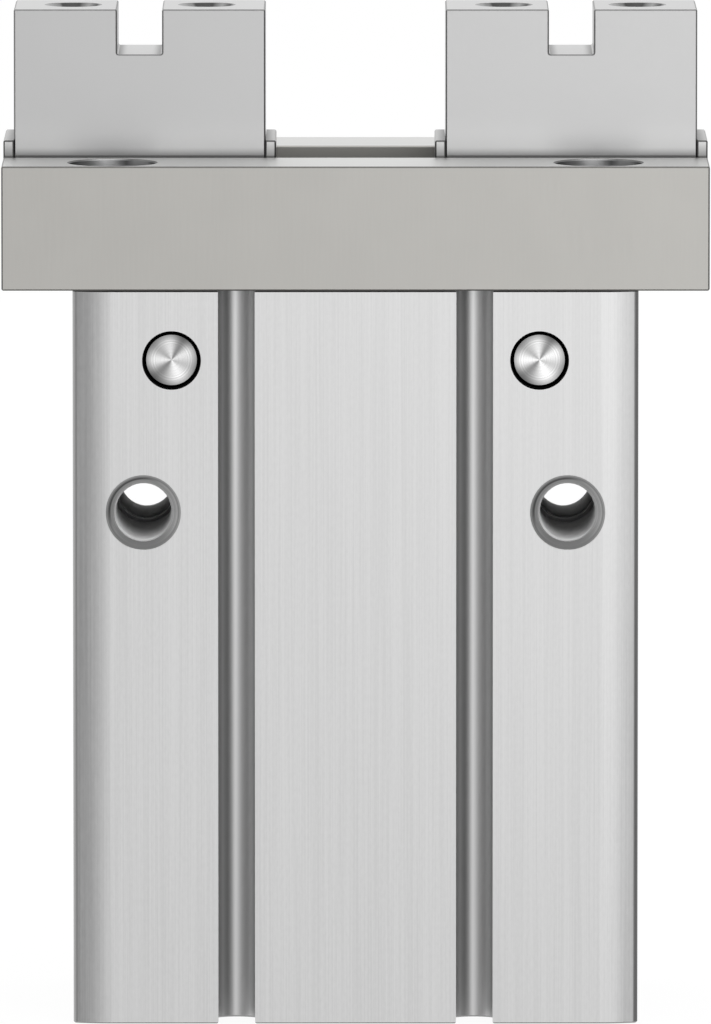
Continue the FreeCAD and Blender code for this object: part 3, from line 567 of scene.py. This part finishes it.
def mount_places(name):
    """The centre of the hole that a mount stands for, or of each of its two holes."""
    centre = Vector(mount(name)["pos_m"])
    spacing = mount(name)["dims"].get("spacing_x_mm")
    if spacing is None:
        return [centre]
    return [centre + Vector((side * spacing / 2 * MM, 0.0, 0.0)) for side in SIDES]


def hole_radius(name):
    """The radius of the hole or holes that a mount stands for."""
    dims = mount(name)["dims"]
    return dims.get("hole_r_mm", dims.get("r_mm")) * MM


def port_places():
    """The centres of both air ports."""
    return mount_places("closing_port") + mount_places("opening_port")


def screw_places():
    """Points on the axes of the four screws in the guide plate."""
    _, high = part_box("guide_screws")
    reach_x = high.x - SCREW_HEAD
    reach_y = high.y - SCREW_HEAD
    return [Vector((x * reach_x, y * reach_y, 0.0)) for x in SIDES for y in SIDES]


# Finish of the housing

def slot_mask(finish, high):
    """1 inside the sensor slots of the housing."""
    x, y, _ = finish.parts(finish.point)
    offset = finish.maths("SUBTRACT", finish.magnitude(x), SLOT_X)
    beside = finish.below(finish.magnitude(offset), SLOT_HALF)
    inside = finish.below(finish.magnitude(y), high.y - SLOT_LIP)
    return finish.product(beside, inside)


def bored_mask(finish, node, centres, axis, reach):
    """1 inside some parallel holes of a node, and 0 on its outer faces and elsewhere."""
    low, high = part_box(node)
    index = AXES.index(axis)
    place = finish.parts(finish.point)[index]
    under = finish.below(place, high[index] - SKIN)
    over = finish.above(place, low[index] + SKIN)
    return finish.product(under, over, finish.around(centres, axis, reach))


def machined_mask(finish, node):
    """1 in the threaded holes of the housing."""
    return finish.largest(
        bored_mask(finish, node, mount_places("front_threads"), "y", MOUTH_REACH),
        bored_mask(finish, node, mount_places("base_threads"), "z", MOUTH_REACH),
        bored_mask(finish, node, port_places(), "x", MOUTH_REACH),
    )


def corner_mask(finish, high):
    """1 on the small upright corner rounds of the housing."""
    x, _, _ = finish.parts(finish.point)
    outside = finish.above(finish.magnitude(x), high.x - CORNER_WIDTH)
    squarest = finish.largest(*(finish.facing(axis) for axis in AXES))
    return finish.product(outside, finish.rise(squarest, *CORNER_LIMITS))


def corner_shade(finish):
    """Painted shade on the upright corners of the housing, darker on the right."""
    x, _, _ = finish.parts(finish.point)
    return finish.tints(finish.above(x, 0.0), LEFT_CORNER_SHADE, RIGHT_CORNER_SHADE)


def edge_shade(finish, node):
    """Painted shade on the end edges of the housing, darkest on the upper one, which lies in the shade of
    the guide plate.
    """
    _, _, z = finish.parts(finish.point)
    upper = finish.above(z, middle_of(node).z)
    return finish.tints(upper, BASE_EDGE_SHADE, TOP_EDGE_SHADE)


def mouth_rings_light_and_shade(finish):
    """The turned countersinks of the cross holes, with painted shade in a ring on the upper left and on the
    lower side, and painted light on the right side.
    """
    distance = finish.nearest(mount_places("front_threads"), "y")
    turned = finish.rise(finish.bands(distance, LATHE_RINGS), *RING_LIMITS)
    metal = finish.tints(turned, *MOUTH_TONES)
    inner = finish.rise(distance, DARK_RING - DARK_RING_WIDTH, DARK_RING)
    outer = finish.rise(distance, DARK_RING + DARK_RING_WIDTH, DARK_RING)
    side = finish.rise(finish.lean(finish.normal, DARK_RING_SIDE), *DARK_RING_LIMITS)
    metal = finish.blend(finish.product(side, inner, outer), metal, finish.tint(DARK_RING_SHADE))
    _, _, up = finish.parts(finish.normal)
    metal = finish.blend(finish.rise(up, *MOUTH_SIDE_LIMITS), metal, finish.tint(MOUTH_LOW_SHADE))
    lit = finish.rise(finish.lean(finish.normal, MOUTH_LIT_SIDE), *MOUTH_SIDE_LIMITS)
    return finish.vectors("MULTIPLY", metal, finish.between(lit, 1.0, MOUTH_PAINTED_LIGHT_GAIN))


def wall_light_and_shade(finish, depth):
    """Painted light and shade on the walls of the cross holes: light painted on the lower side near the
    front, as if from above, and shade elsewhere.
    """
    inward = finish.inward(mount_places("front_threads"), "y")
    upward = finish.rise(finish.lean(inward, WALL_LIT_SIDE), *WALL_LIT_LIMITS)
    near = finish.rise(depth, WALL_DARK_DEPTH, WALL_LIT_DEPTH)
    return finish.blend(finish.product(upward, near), WALL_DARK, WALL_LIT)


def drawing_streaks(finish):
    """The uneven lines that drawing leaves along the housing."""
    lines = finish.mean(FINE_SHARE, finish.cloud(FINE_LINES), finish.cloud(BROAD_LINES))
    return finish.mean(GRAIN_SHARE, finish.cloud(LINE_GRAIN), lines)


def extruded_aluminium(node):
    """Clear anodised profile with fine drawing lines along Z, and painted light and shade in its slots, on
    its corners, edges and pin mouths, and in its threaded holes.
    """
    low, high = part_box(node)
    finish = Finish("anodised_aluminium", colour=(0.70, 0.70, 0.70), metallic=1.0, roughness=0.36)
    streaks = drawing_streaks(finish)
    share = finish.rise(streaks, *PATTERN_LIMITS)
    slots = slot_mask(finish, high)
    edges = finish.broken_edges(low, high, "z")
    pins = finish.around([middle_of(f"lever_pin_{hand}") for hand in HANDS], "y", PIN_MOUTH)
    holes = machined_mask(finish, node)
    _, y, _ = finish.parts(finish.point)
    depth = finish.maths("SUBTRACT", y, low.y)
    walls = finish.product(holes, finish.above(depth, MOUTH_DEPTH))
    metal = finish.tints(share, *STREAK_TONES)
    # Painted reflection and shade on the slot walls
    metal = finish.blend(slots, metal, finish.shine(SLOT_PAINTED_SHINE))
    # Painted shade on the upright corners
    metal = finish.blend(corner_mask(finish, high), metal, corner_shade(finish))
    # Painted shade on the end edges
    metal = finish.blend(edges, metal, edge_shade(finish, node))
    # Painted shade: near-black around the pins, where the gap around them is in shade
    metal = finish.blend(pins, metal, finish.tint(PIN_MOUTH_SHADE))
    # Turning rings in the countersinks, with painted light and shade
    metal = finish.blend(holes, metal, mouth_rings_light_and_shade(finish))
    # Painted light and shade on the walls of the cross holes, which are matte there
    finish.use("Base Color", finish.blend(walls, metal, wall_light_and_shade(finish, depth)))
    finish.use("Metallic", finish.between(walls, finish.between(slots, 1.0, SLOT_METALLIC), 0.0))
    finish.use("Specular IOR Level", HOUSING_SPECULAR)
    rough = finish.between(slots, finish.between(share, *FACE_ROUGHNESS), SLOT_ROUGHNESS)
    finish.use("Roughness", finish.between(holes, rough, HOLE_ROUGHNESS))
    finish.bump(streaks, strength=0.12, distance=0.004 * MM)
    return finish


# Finishes of the guide plate, the jaws and the pins

class GroundSteel(Finish):
    """A ground block: the tones of its faces, and a mask of its broken edges."""

    def __init__(self, name, node, colour, roughness, grinding, contrast):
        super().__init__(name, colour, metallic=1.0, roughness=roughness)
        fine = self.cloud(grinding)
        share = self.rise(self.mean(FINE_SHARE, fine, self.cloud(GROUND_CLOUD)), *PATTERN_LIMITS)
        self.metal = self.tints(share, 1.0 - contrast, 1.0 + contrast)
        self.edges = self.broken_edges(*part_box(node))
        self.uneven(fine, spread=0.05)
        self.bump(fine, strength=0.1, distance=0.003 * MM)


def guide_steel(node):
    """Warm satin plate with a ground top painted brighter as painted light, and painted shade on its channel
    walls, broken edges and counterbores, where reflections are painted too.
    """
    finish = GroundSteel(
        "guide_steel",
        node,
        colour=(0.50, 0.491, 0.468),
        roughness=0.4,
        grinding=UPRIGHT_GRINDING,
        contrast=0.02,
    )
    low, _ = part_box(node)
    _, y, z = finish.parts(finish.point)
    top = finish.flat("z")
    beside = finish.below(finish.magnitude(y), CHANNEL_REACH)
    channel = finish.product(beside, finish.above(z, low.z + CHANNEL_FLOOR))
    walls = finish.product(channel, finish.rest(finish.largest(top, finish.flat("x"))))
    sunk = bored_mask(finish, node, screw_places(), "z", COUNTERBORE_REACH)
    edges = finish.product(finish.edges, finish.rest(finish.largest(channel, sunk)))
    # Painted light: the top is brighter
    metal = finish.blend(top, finish.metal, PLATE_TOP_LIGHT)
    # Painted shade on the channel walls
    metal = finish.blend(walls, metal, finish.tint(CHANNEL_SHADE))
    # Painted reflection and shade in the counterbores
    metal = finish.blend(sunk, metal, finish.shine(BORE_PAINTED_SHINE))
    # Painted shade on the broken edges
    finish.use("Base Color", finish.blend(edges, metal, finish.tint(PLATE_EDGE_SHADE)))
    return finish


def groove_ends(finish, node):
    """1 on the floor of a jaw's groove, close to its walls, where shade is painted."""
    _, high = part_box(node)
    x, _, z = finish.parts(finish.point)
    offset = finish.magnitude(finish.maths("SUBTRACT", x, middle_of(node).x))
    inside = finish.below(offset, GROOVE_HALF)
    deep = finish.below(z, high.z - GROOVE_DEPTH + SKIN)
    close = finish.rise(offset, GROOVE_HALF - GROOVE_SHADE, GROOVE_HALF)
    return finish.product(close, finish.flat("z"), inside, deep)


def jaw_steel(node, hand):
    """Fine ground jaw with its top painted brighter as painted light, painted shade at its groove ends, its
    foot and its broken edges, and painted highlights and shade in its threads.
    """
    finish = GroundSteel(
        f"{node}_steel",
        node,
        colour=(0.535, 0.535, 0.535),
        roughness=0.34,
        grinding=EVEN_GRINDING,
        contrast=0.008,
    )
    _, _, z = finish.parts(finish.point)
    _, guide_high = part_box("guide_plate")
    shade = finish.rise(z, guide_high.z + FOOT_SHADE, guide_high.z)
    foot = finish.below(z, guide_high.z + FOOT_LINE)
    holes = bored_mask(finish, node, mount_places(f"{hand}_jaw_threads"), "z", JAW_MOUTH_REACH)
    # Painted light on the top; painted shade at the groove ends, the foot and the broken edges
    metal = finish.blend(finish.flat("z"), finish.metal, finish.tint(JAW_TOP_LIGHT))
    metal = finish.blend(groove_ends(finish, node), metal, finish.tint(GROOVE_END_SHADE))
    metal = finish.blend(shade, metal, finish.tint(FOOT_SHADE_TONE))
    metal = finish.blend(foot, metal, finish.tint(FOOT_LINE_SHADE))
    metal = finish.blend(finish.edges, metal, finish.tint(JAW_EDGE_SHADE))
    # Painted highlights and shade in the threads
    finish.use("Base Color", finish.blend(holes, metal, finish.shine(THREAD_PAINTED_SHINE)))
    return finish


def plate_steel(node, jaw):
    """End plate of a jaw with painted light and shade: its front darkens to its foot, its top darkens
    towards the jaw, and its foot line and the edges along its front and back are painted dark.
    """
    finish = GroundSteel(
        f"{node}_steel",
        node,
        colour=(0.44, 0.44, 0.437),
        roughness=0.36,
        grinding=EVEN_GRINDING,
        contrast=0.02,
    )
    low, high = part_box(node)
    _, guide_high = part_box("guide_plate")
    x, _, z = finish.parts(finish.point)
    jaw_on_left = middle_of(jaw).x < middle_of(node).x
    jaw_side, free_side = (low.x, high.x) if jaw_on_left else (high.x, low.x)
    front = finish.flat("y")
    # Painted light and shade: the top darkens towards the jaw, and the front darkens to its foot
    top_light_and_shade = finish.between(finish.rise(x, jaw_side, free_side), *END_TOP_LIGHT_AND_SHADE)
    front_light_and_shade = finish.between(finish.rise(z, guide_high.z, high.z), *END_FRONT_LIGHT_AND_SHADE)
    tone = finish.between(front, finish.between(finish.flat("z"), 1.0, top_light_and_shade), front_light_and_shade)
    foot = finish.product(front, finish.below(z, guide_high.z + FOOT_LINE))
    edges = finish.product(finish.edges, finish.rise(finish.facing("y"), *END_EDGE_LIMITS))
    metal = finish.vectors("MULTIPLY", finish.metal, tone)
    metal = finish.blend(foot, metal, finish.tint(END_FOOT_SHADE))
    finish.use("Base Color", finish.blend(edges, metal, finish.tint(END_EDGE_SHADE)))
    return finish


def turned_pin(node):
    """A pin whose sides are painted near-black as shade, and whose bright faced ends show the rings of a
    lathe, with a painted reflection in a fan and painted shade at their rim.
    """
    finish = Finish(f"{node}_steel", colour=(0.80, 0.79, 0.77), metallic=1.0, roughness=0.3)
    way = finish.across(middle_of(node), "y")
    distance = finish.length(way)
    x, _, z = finish.parts(way)
    # Painted reflection: a fan of bright and dark sectors
    fan = finish.ramp(finish.turn(z, x), PAINTED_FAN, "EASE")
    rings = finish.between(finish.bands(distance, PIN_RINGS, detail=1.0), *PIN_RING_TONES)
    # Painted shade at the rim of the faced end
    rim = finish.between(finish.rise(distance, *PIN_RIM_LIMITS), 1.0, PIN_RIM_SHADE)
    face = finish.product(fan, rings, rim)
    end = finish.below(distance, PIN_FACE)
    # Painted shade: the sides are near-black, for the gap they sit in
    finish.use("Base Color", finish.blend(end, PIN_SIDE_SHADE, face))
    finish.use("Roughness", finish.between(end, PIN_SIDE_ROUGHNESS, PIN_FACE_ROUGHNESS))
    finish.use("Anisotropic", PIN_ANISOTROPY)
    tangent = finish.add("ShaderNodeTangent", direction_type="RADIAL", axis="Y")
    finish.use("Tangent", tangent.outputs[0])
    return finish


# Plain finishes that several pieces share

def satin_metal(name, colour, roughness):
    """A machined metal with a fine cloudy sheen."""
    finish = Finish(name, colour, metallic=1.0, roughness=roughness)
    cloud = finish.cloud(SATIN_CLOUD)
    finish.use("Base Color", finish.tints(cloud, low=0.9, high=1.1))
    finish.uneven(cloud, spread=0.06)
    return finish


def turned_metal(name, colour, roughness):
    """A lathe-turned metal with rings around Z."""
    finish = Finish(name, colour, metallic=1.0, roughness=roughness)
    rings = finish.bands(finish.length(finish.across((0.0, 0.0, 0.0), "z")), LATHE_RINGS)
    finish.use("Base Color", finish.tints(rings, low=0.85, high=1.12))
    finish.uneven(rings, spread=0.06)
    finish.bump(rings, strength=0.15, distance=0.004 * MM)
    return finish


def moulded(name, colour, roughness):
    """Rubber or plastic with a faint grain."""
    finish = Finish(name, colour, metallic=0.0, roughness=roughness)
    grain = finish.cloud(MOULD_GRAIN)
    finish.use("Base Color", finish.tints(grain, low=0.8, high=1.2))
    finish.uneven(grain, spread=0.08)
    finish.bump(grain, strength=0.2, distance=0.01 * MM)
    return finish


# Dressing of the nodes

def dress(node, finish):
    """Give a CAD node its material."""
    piece = frame["nodes"][node]
    piece.data.materials.clear()
    piece.data.materials.append(finish.material)


def dress_outside():
    """Give the pieces on top of the housing and the pins their finishes."""
    screws = satin_metal("screw_steel", colour=(0.45, 0.45, 0.46), roughness=0.32)
    dress("guide_plate", guide_steel("guide_plate"))
    dress("guide_screws", screws)
    for hand in HANDS:
        jaw = f"jaw_{hand}"
        pin = f"lever_pin_{hand}"
        dress(jaw, jaw_steel(jaw, hand))
        dress(pin, turned_pin(pin))
        dress(f"plate_screws_{hand}", screws)
        for end in ("outer", "inner"):
            plate = f"{end}_plate_{hand}"
            dress(plate, plate_steel(plate, jaw))


def dress_inside():
    """Give the pieces of the drive and the cylinder their finishes."""
    turned = turned_metal("piston_aluminium", colour=(0.66, 0.66, 0.66), roughness=0.34)
    rubber = moulded("seal_rubber", colour=(0.02, 0.02, 0.02), roughness=0.55)
    bumper = moulded("bumper_rubber", colour=(0.12, 0.09, 0.05), roughness=0.5)
    rollers = satin_metal("roller_steel", colour=(0.6, 0.59, 0.57), roughness=0.22)
    levers = satin_metal("lever_steel", colour=(0.34, 0.34, 0.35), roughness=0.4)
    finishes = {
        "lever_left": levers,
        "lever_right": levers,
        "rollers_left": rollers,
        "rollers_right": rollers,
        "piston_rod": turned_metal("rod_steel", colour=(0.62, 0.62, 0.63), roughness=0.14),
        "piston": turned,
        "piston_cover": turned,
        "piston_screw": satin_metal("piston_screw_steel", colour=(0.3, 0.3, 0.31), roughness=0.35),
        "seal_retainer": turned,
        "end_cap": turned,
        "rod_bush": turned_metal("bearing_bronze", colour=(0.55, 0.37, 0.18), roughness=0.42),
        "rod_seal": rubber,
        "piston_seal": rubber,
        "end_cap_seal": rubber,
        "upper_bumper": bumper,
        "lower_bumper": bumper,
        "wear_ring": moulded("wear_plastic", colour=(0.55, 0.5, 0.4), roughness=0.4),
        "magnet_ring": moulded("magnet", colour=(0.05, 0.05, 0.055), roughness=0.45),
        "retaining_ring": satin_metal("ring_steel", colour=(0.16, 0.16, 0.17), roughness=0.38),
    }
    for node, finish in finishes.items():
        dress(node, finish)


# Threads

def ridge_section(step, steps, pitch):
    """Corners of a ridge at one step of its helix: along the hole, and in from its wall."""
    fade = min(1.0, step / RIDGE_FADE, (steps - step) / RIDGE_FADE)
    height = RIDGE_HEIGHT * fade
    foot = RIDGE_FOOT * pitch
    tip = RIDGE_TIP * pitch
    return ((-foot, -RIDGE_ROOT), (-tip, height), (tip, height), (foot, -RIDGE_ROOT))


def add_ridge(shape, mouth, inward, radius, thread):
    """One helical ridge on the wall of a hole, from its mouth inwards, closed at both ends."""
    side = inward.orthogonal().normalized()
    turned = inward.cross(side)
    steps = round(thread.length / thread.pitch * RIDGE_STEPS)
    rings = []
    for step in range(steps + 1):
        angle = 2.0 * math.pi * step / RIDGE_STEPS
        out = side * math.cos(angle) + turned * math.sin(angle)
        centre = mouth + inward * (THREAD_START + thread.pitch * step / RIDGE_STEPS)
        corners = ridge_section(step, steps, thread.pitch)
        points = [centre + inward * along + out * (radius - height) for along, height in corners]
        rings.append([shape.verts.new(point) for point in points])
    for ring, following in zip(rings, rings[1:]):
        for corner in range(len(ring)):
            shape.faces.new((ring[corner - 1], ring[corner], following[corner], following[corner - 1]))
    shape.faces.new(rings[0])
    shape.faces.new(rings[-1])


def build_threads(name, mouths, inward, radius, thread, finish):
    """The ridges of some parallel threads, as one piece."""
    shape = bmesh.new()
    for mouth in mouths:
        add_ridge(shape, mouth, inward, radius, thread)
    bmesh.ops.recalc_face_normals(shape, faces=shape.faces)
    for face in shape.faces:
        face.smooth = True
    mesh = bpy.data.meshes.new(name)
    shape.to_mesh(mesh)
    shape.free()
    mesh.materials.append(finish.material)
    piece = bpy.data.objects.new(name, mesh)
    bpy.context.scene.collection.objects.link(piece)
    return piece


def build_housing_threads(aluminium):
    """The threads in the base, the ports and both ends of the cross holes."""
    _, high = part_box("body")
    cut = satin_metal("cut_aluminium", colour=(0.5, 0.5, 0.5), roughness=0.38)
    base = mount_places("base_threads")
    base_radius = hole_radius("base_threads")
    up = Vector((0.0, 0.0, 1.0))
    ports = [Vector((high.x, place.y, place.z)) for place in port_places()]
    port_radius = hole_radius("closing_port")
    left = Vector((-1.0, 0.0, 0.0))
    pieces = [
        build_threads("base_thread_ridges", base, up, base_radius, BASE_THREAD, cut),
        build_threads("port_thread_ridges", ports, left, port_radius, PORT_THREAD, cut),
    ]
    for end, sign in (("front", 1.0), ("back", -1.0)):
        mouths = mount_places(f"{end}_threads")
        radius = hole_radius(f"{end}_threads")
        inward = Vector((0.0, sign, 0.0))
        pieces.append(build_threads(f"{end}_thread_ridges", mouths, inward, radius, CROSS_THREAD, aluminium))
    for piece in pieces:
        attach(piece, "housing")


def build_jaw_threads():
    """The threads in the tops of both jaws."""
    cut = satin_metal("cut_steel", colour=(0.42, 0.42, 0.42), roughness=0.34)
    down = Vector((0.0, 0.0, -1.0))
    for hand in HANDS:
        mouths = mount_places(f"{hand}_jaw_threads")
        radius = hole_radius(f"{hand}_jaw_threads")
        piece = build_threads(f"jaw_thread_ridges_{hand}", mouths, down, radius, JAW_THREAD, cut)
        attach(piece, f"{hand}_jaw")


# Stage

def floor_finish():
    """White seen from above, with a faint shadow, and clear seen from below."""
    grey = (FLOOR_GREY, FLOOR_GREY, FLOOR_GREY)
    finish = Finish("floor", grey, metallic=0.0, roughness=FLOOR_ROUGHNESS)
    finish.use("Specular IOR Level", 0.0)
    paths = finish.add("ShaderNodeLightPath").outputs
    seen = finish.largest(paths["Is Camera Ray"], paths["Is Transmission Ray"])
    glow = finish.add("ShaderNodeEmission")
    glow.inputs["Strength"].default_value = FLOOR_GLOW
    share = finish.product(seen, FLOOR_GLOW_SHARE)
    white = finish.mix(share, finish.shader.outputs[0], glow.outputs[0])
    clear = finish.add("ShaderNodeBsdfTransparent").outputs[0]
    from_below = finish.add("ShaderNodeNewGeometry").outputs["Backfacing"]
    surface = finish.find("OUTPUT_MATERIAL").inputs["Surface"]
    finish.feed(surface, finish.mix(from_below, white, clear))
    return finish


def build_floor():
    """A wide floor just under the gripper, which metal doesn't show."""
    outline = ((-1, -1), (1, -1), (1, 1), (-1, 1))
    corners = [(x * FLOOR_SIZE, y * FLOOR_SIZE, -FLOOR_GAP) for x, y in outline]
    mesh = bpy.data.meshes.new("floor")
    mesh.from_pydata(corners, [], [(0, 1, 2, 3)])
    mesh.materials.append(floor_finish().material)
    floor = bpy.data.objects.new("floor", mesh)
    floor.visible_glossy = False
    bpy.context.scene.collection.objects.link(floor)


def surround_tone(nodes):
    """The brightness that metal sees in a direction."""
    direction = nodes.add("ShaderNodeTexCoord").outputs["Generated"]
    x, y, z = nodes.parts(direction)
    front = nodes.product(y, -1.0)
    tone = nodes.ramp(nodes.turn(x, front), SURROUND, "LINEAR")
    low = nodes.between(nodes.rise(y, *DEPTH_LIMITS), GROUND_FRONT, GROUND_BACK)
    ground = nodes.between(nodes.rise(z, *HORIZON_LIMITS), low, 1.0)
    sides = nodes.product(tone, ground)
    return nodes.between(nodes.rise(z, *FLOOR_LIMITS), sides, FLOOR_TONE)


def build_world():
    """A white surround that has soft dark sides in metal."""
    world = bpy.data.worlds.new("surround")
    bpy.context.scene.world = world
    world.use_nodes = True
    nodes = Nodes(world.node_tree)
    background = nodes.find("BACKGROUND")
    background.inputs["Color"].default_value = (1.0, 1.0, 1.0, 1.0)
    paths = nodes.add("ShaderNodeLightPath").outputs
    white = nodes.largest(paths["Is Camera Ray"], paths["Is Transmission Ray"])
    strength = nodes.between(paths["Is Glossy Ray"], PLAIN_TONE, surround_tone(nodes))
    nodes.feed(background.inputs["Strength"], nodes.between(white, strength, 1.0))


def build_lamp(name, place, size, power):
    """A soft box that points at the gripper."""
    data = bpy.data.lights.new(name, "AREA")
    data.shape = "SQUARE"
    data.size = size
    data.energy = power
    lamp = bpy.data.objects.new(name, data)
    lamp.location = place
    aim = CAMERA_TARGET - lamp.location
    lamp.rotation_euler = aim.to_track_quat("-Z", "Y").to_euler()
    bpy.context.scene.collection.objects.link(lamp)


def build_camera():
    """The photograph's own point of view."""
    data = bpy.data.cameras.new("camera")
    data.sensor_width = CAMERA_SENSOR
    data.lens = CAMERA_LENS
    data.clip_start = CAMERA_NEAR
    data.clip_end = CAMERA_FAR
    camera = bpy.data.objects.new("camera", data)
    back = Vector((0.0, -math.cos(CAMERA_ELEVATION), math.sin(CAMERA_ELEVATION)))
    camera.location = CAMERA_TARGET + back * CAMERA_DISTANCE
    camera.rotation_euler = (-back).to_track_quat("-Z", "Y").to_euler()
    bpy.context.scene.collection.objects.link(camera)
    bpy.context.scene.camera = camera


housing_finish = extruded_aluminium("body")
dress("body", housing_finish)
build_housing_threads(housing_finish)
build_jaw_threads()
dress_outside()
dress_inside()
build_floor()
build_world()
for lamp_values in LAMPS:
    build_lamp(*lamp_values)
build_camera()
bpy.context.scene.view_settings.view_transform = "Standard"
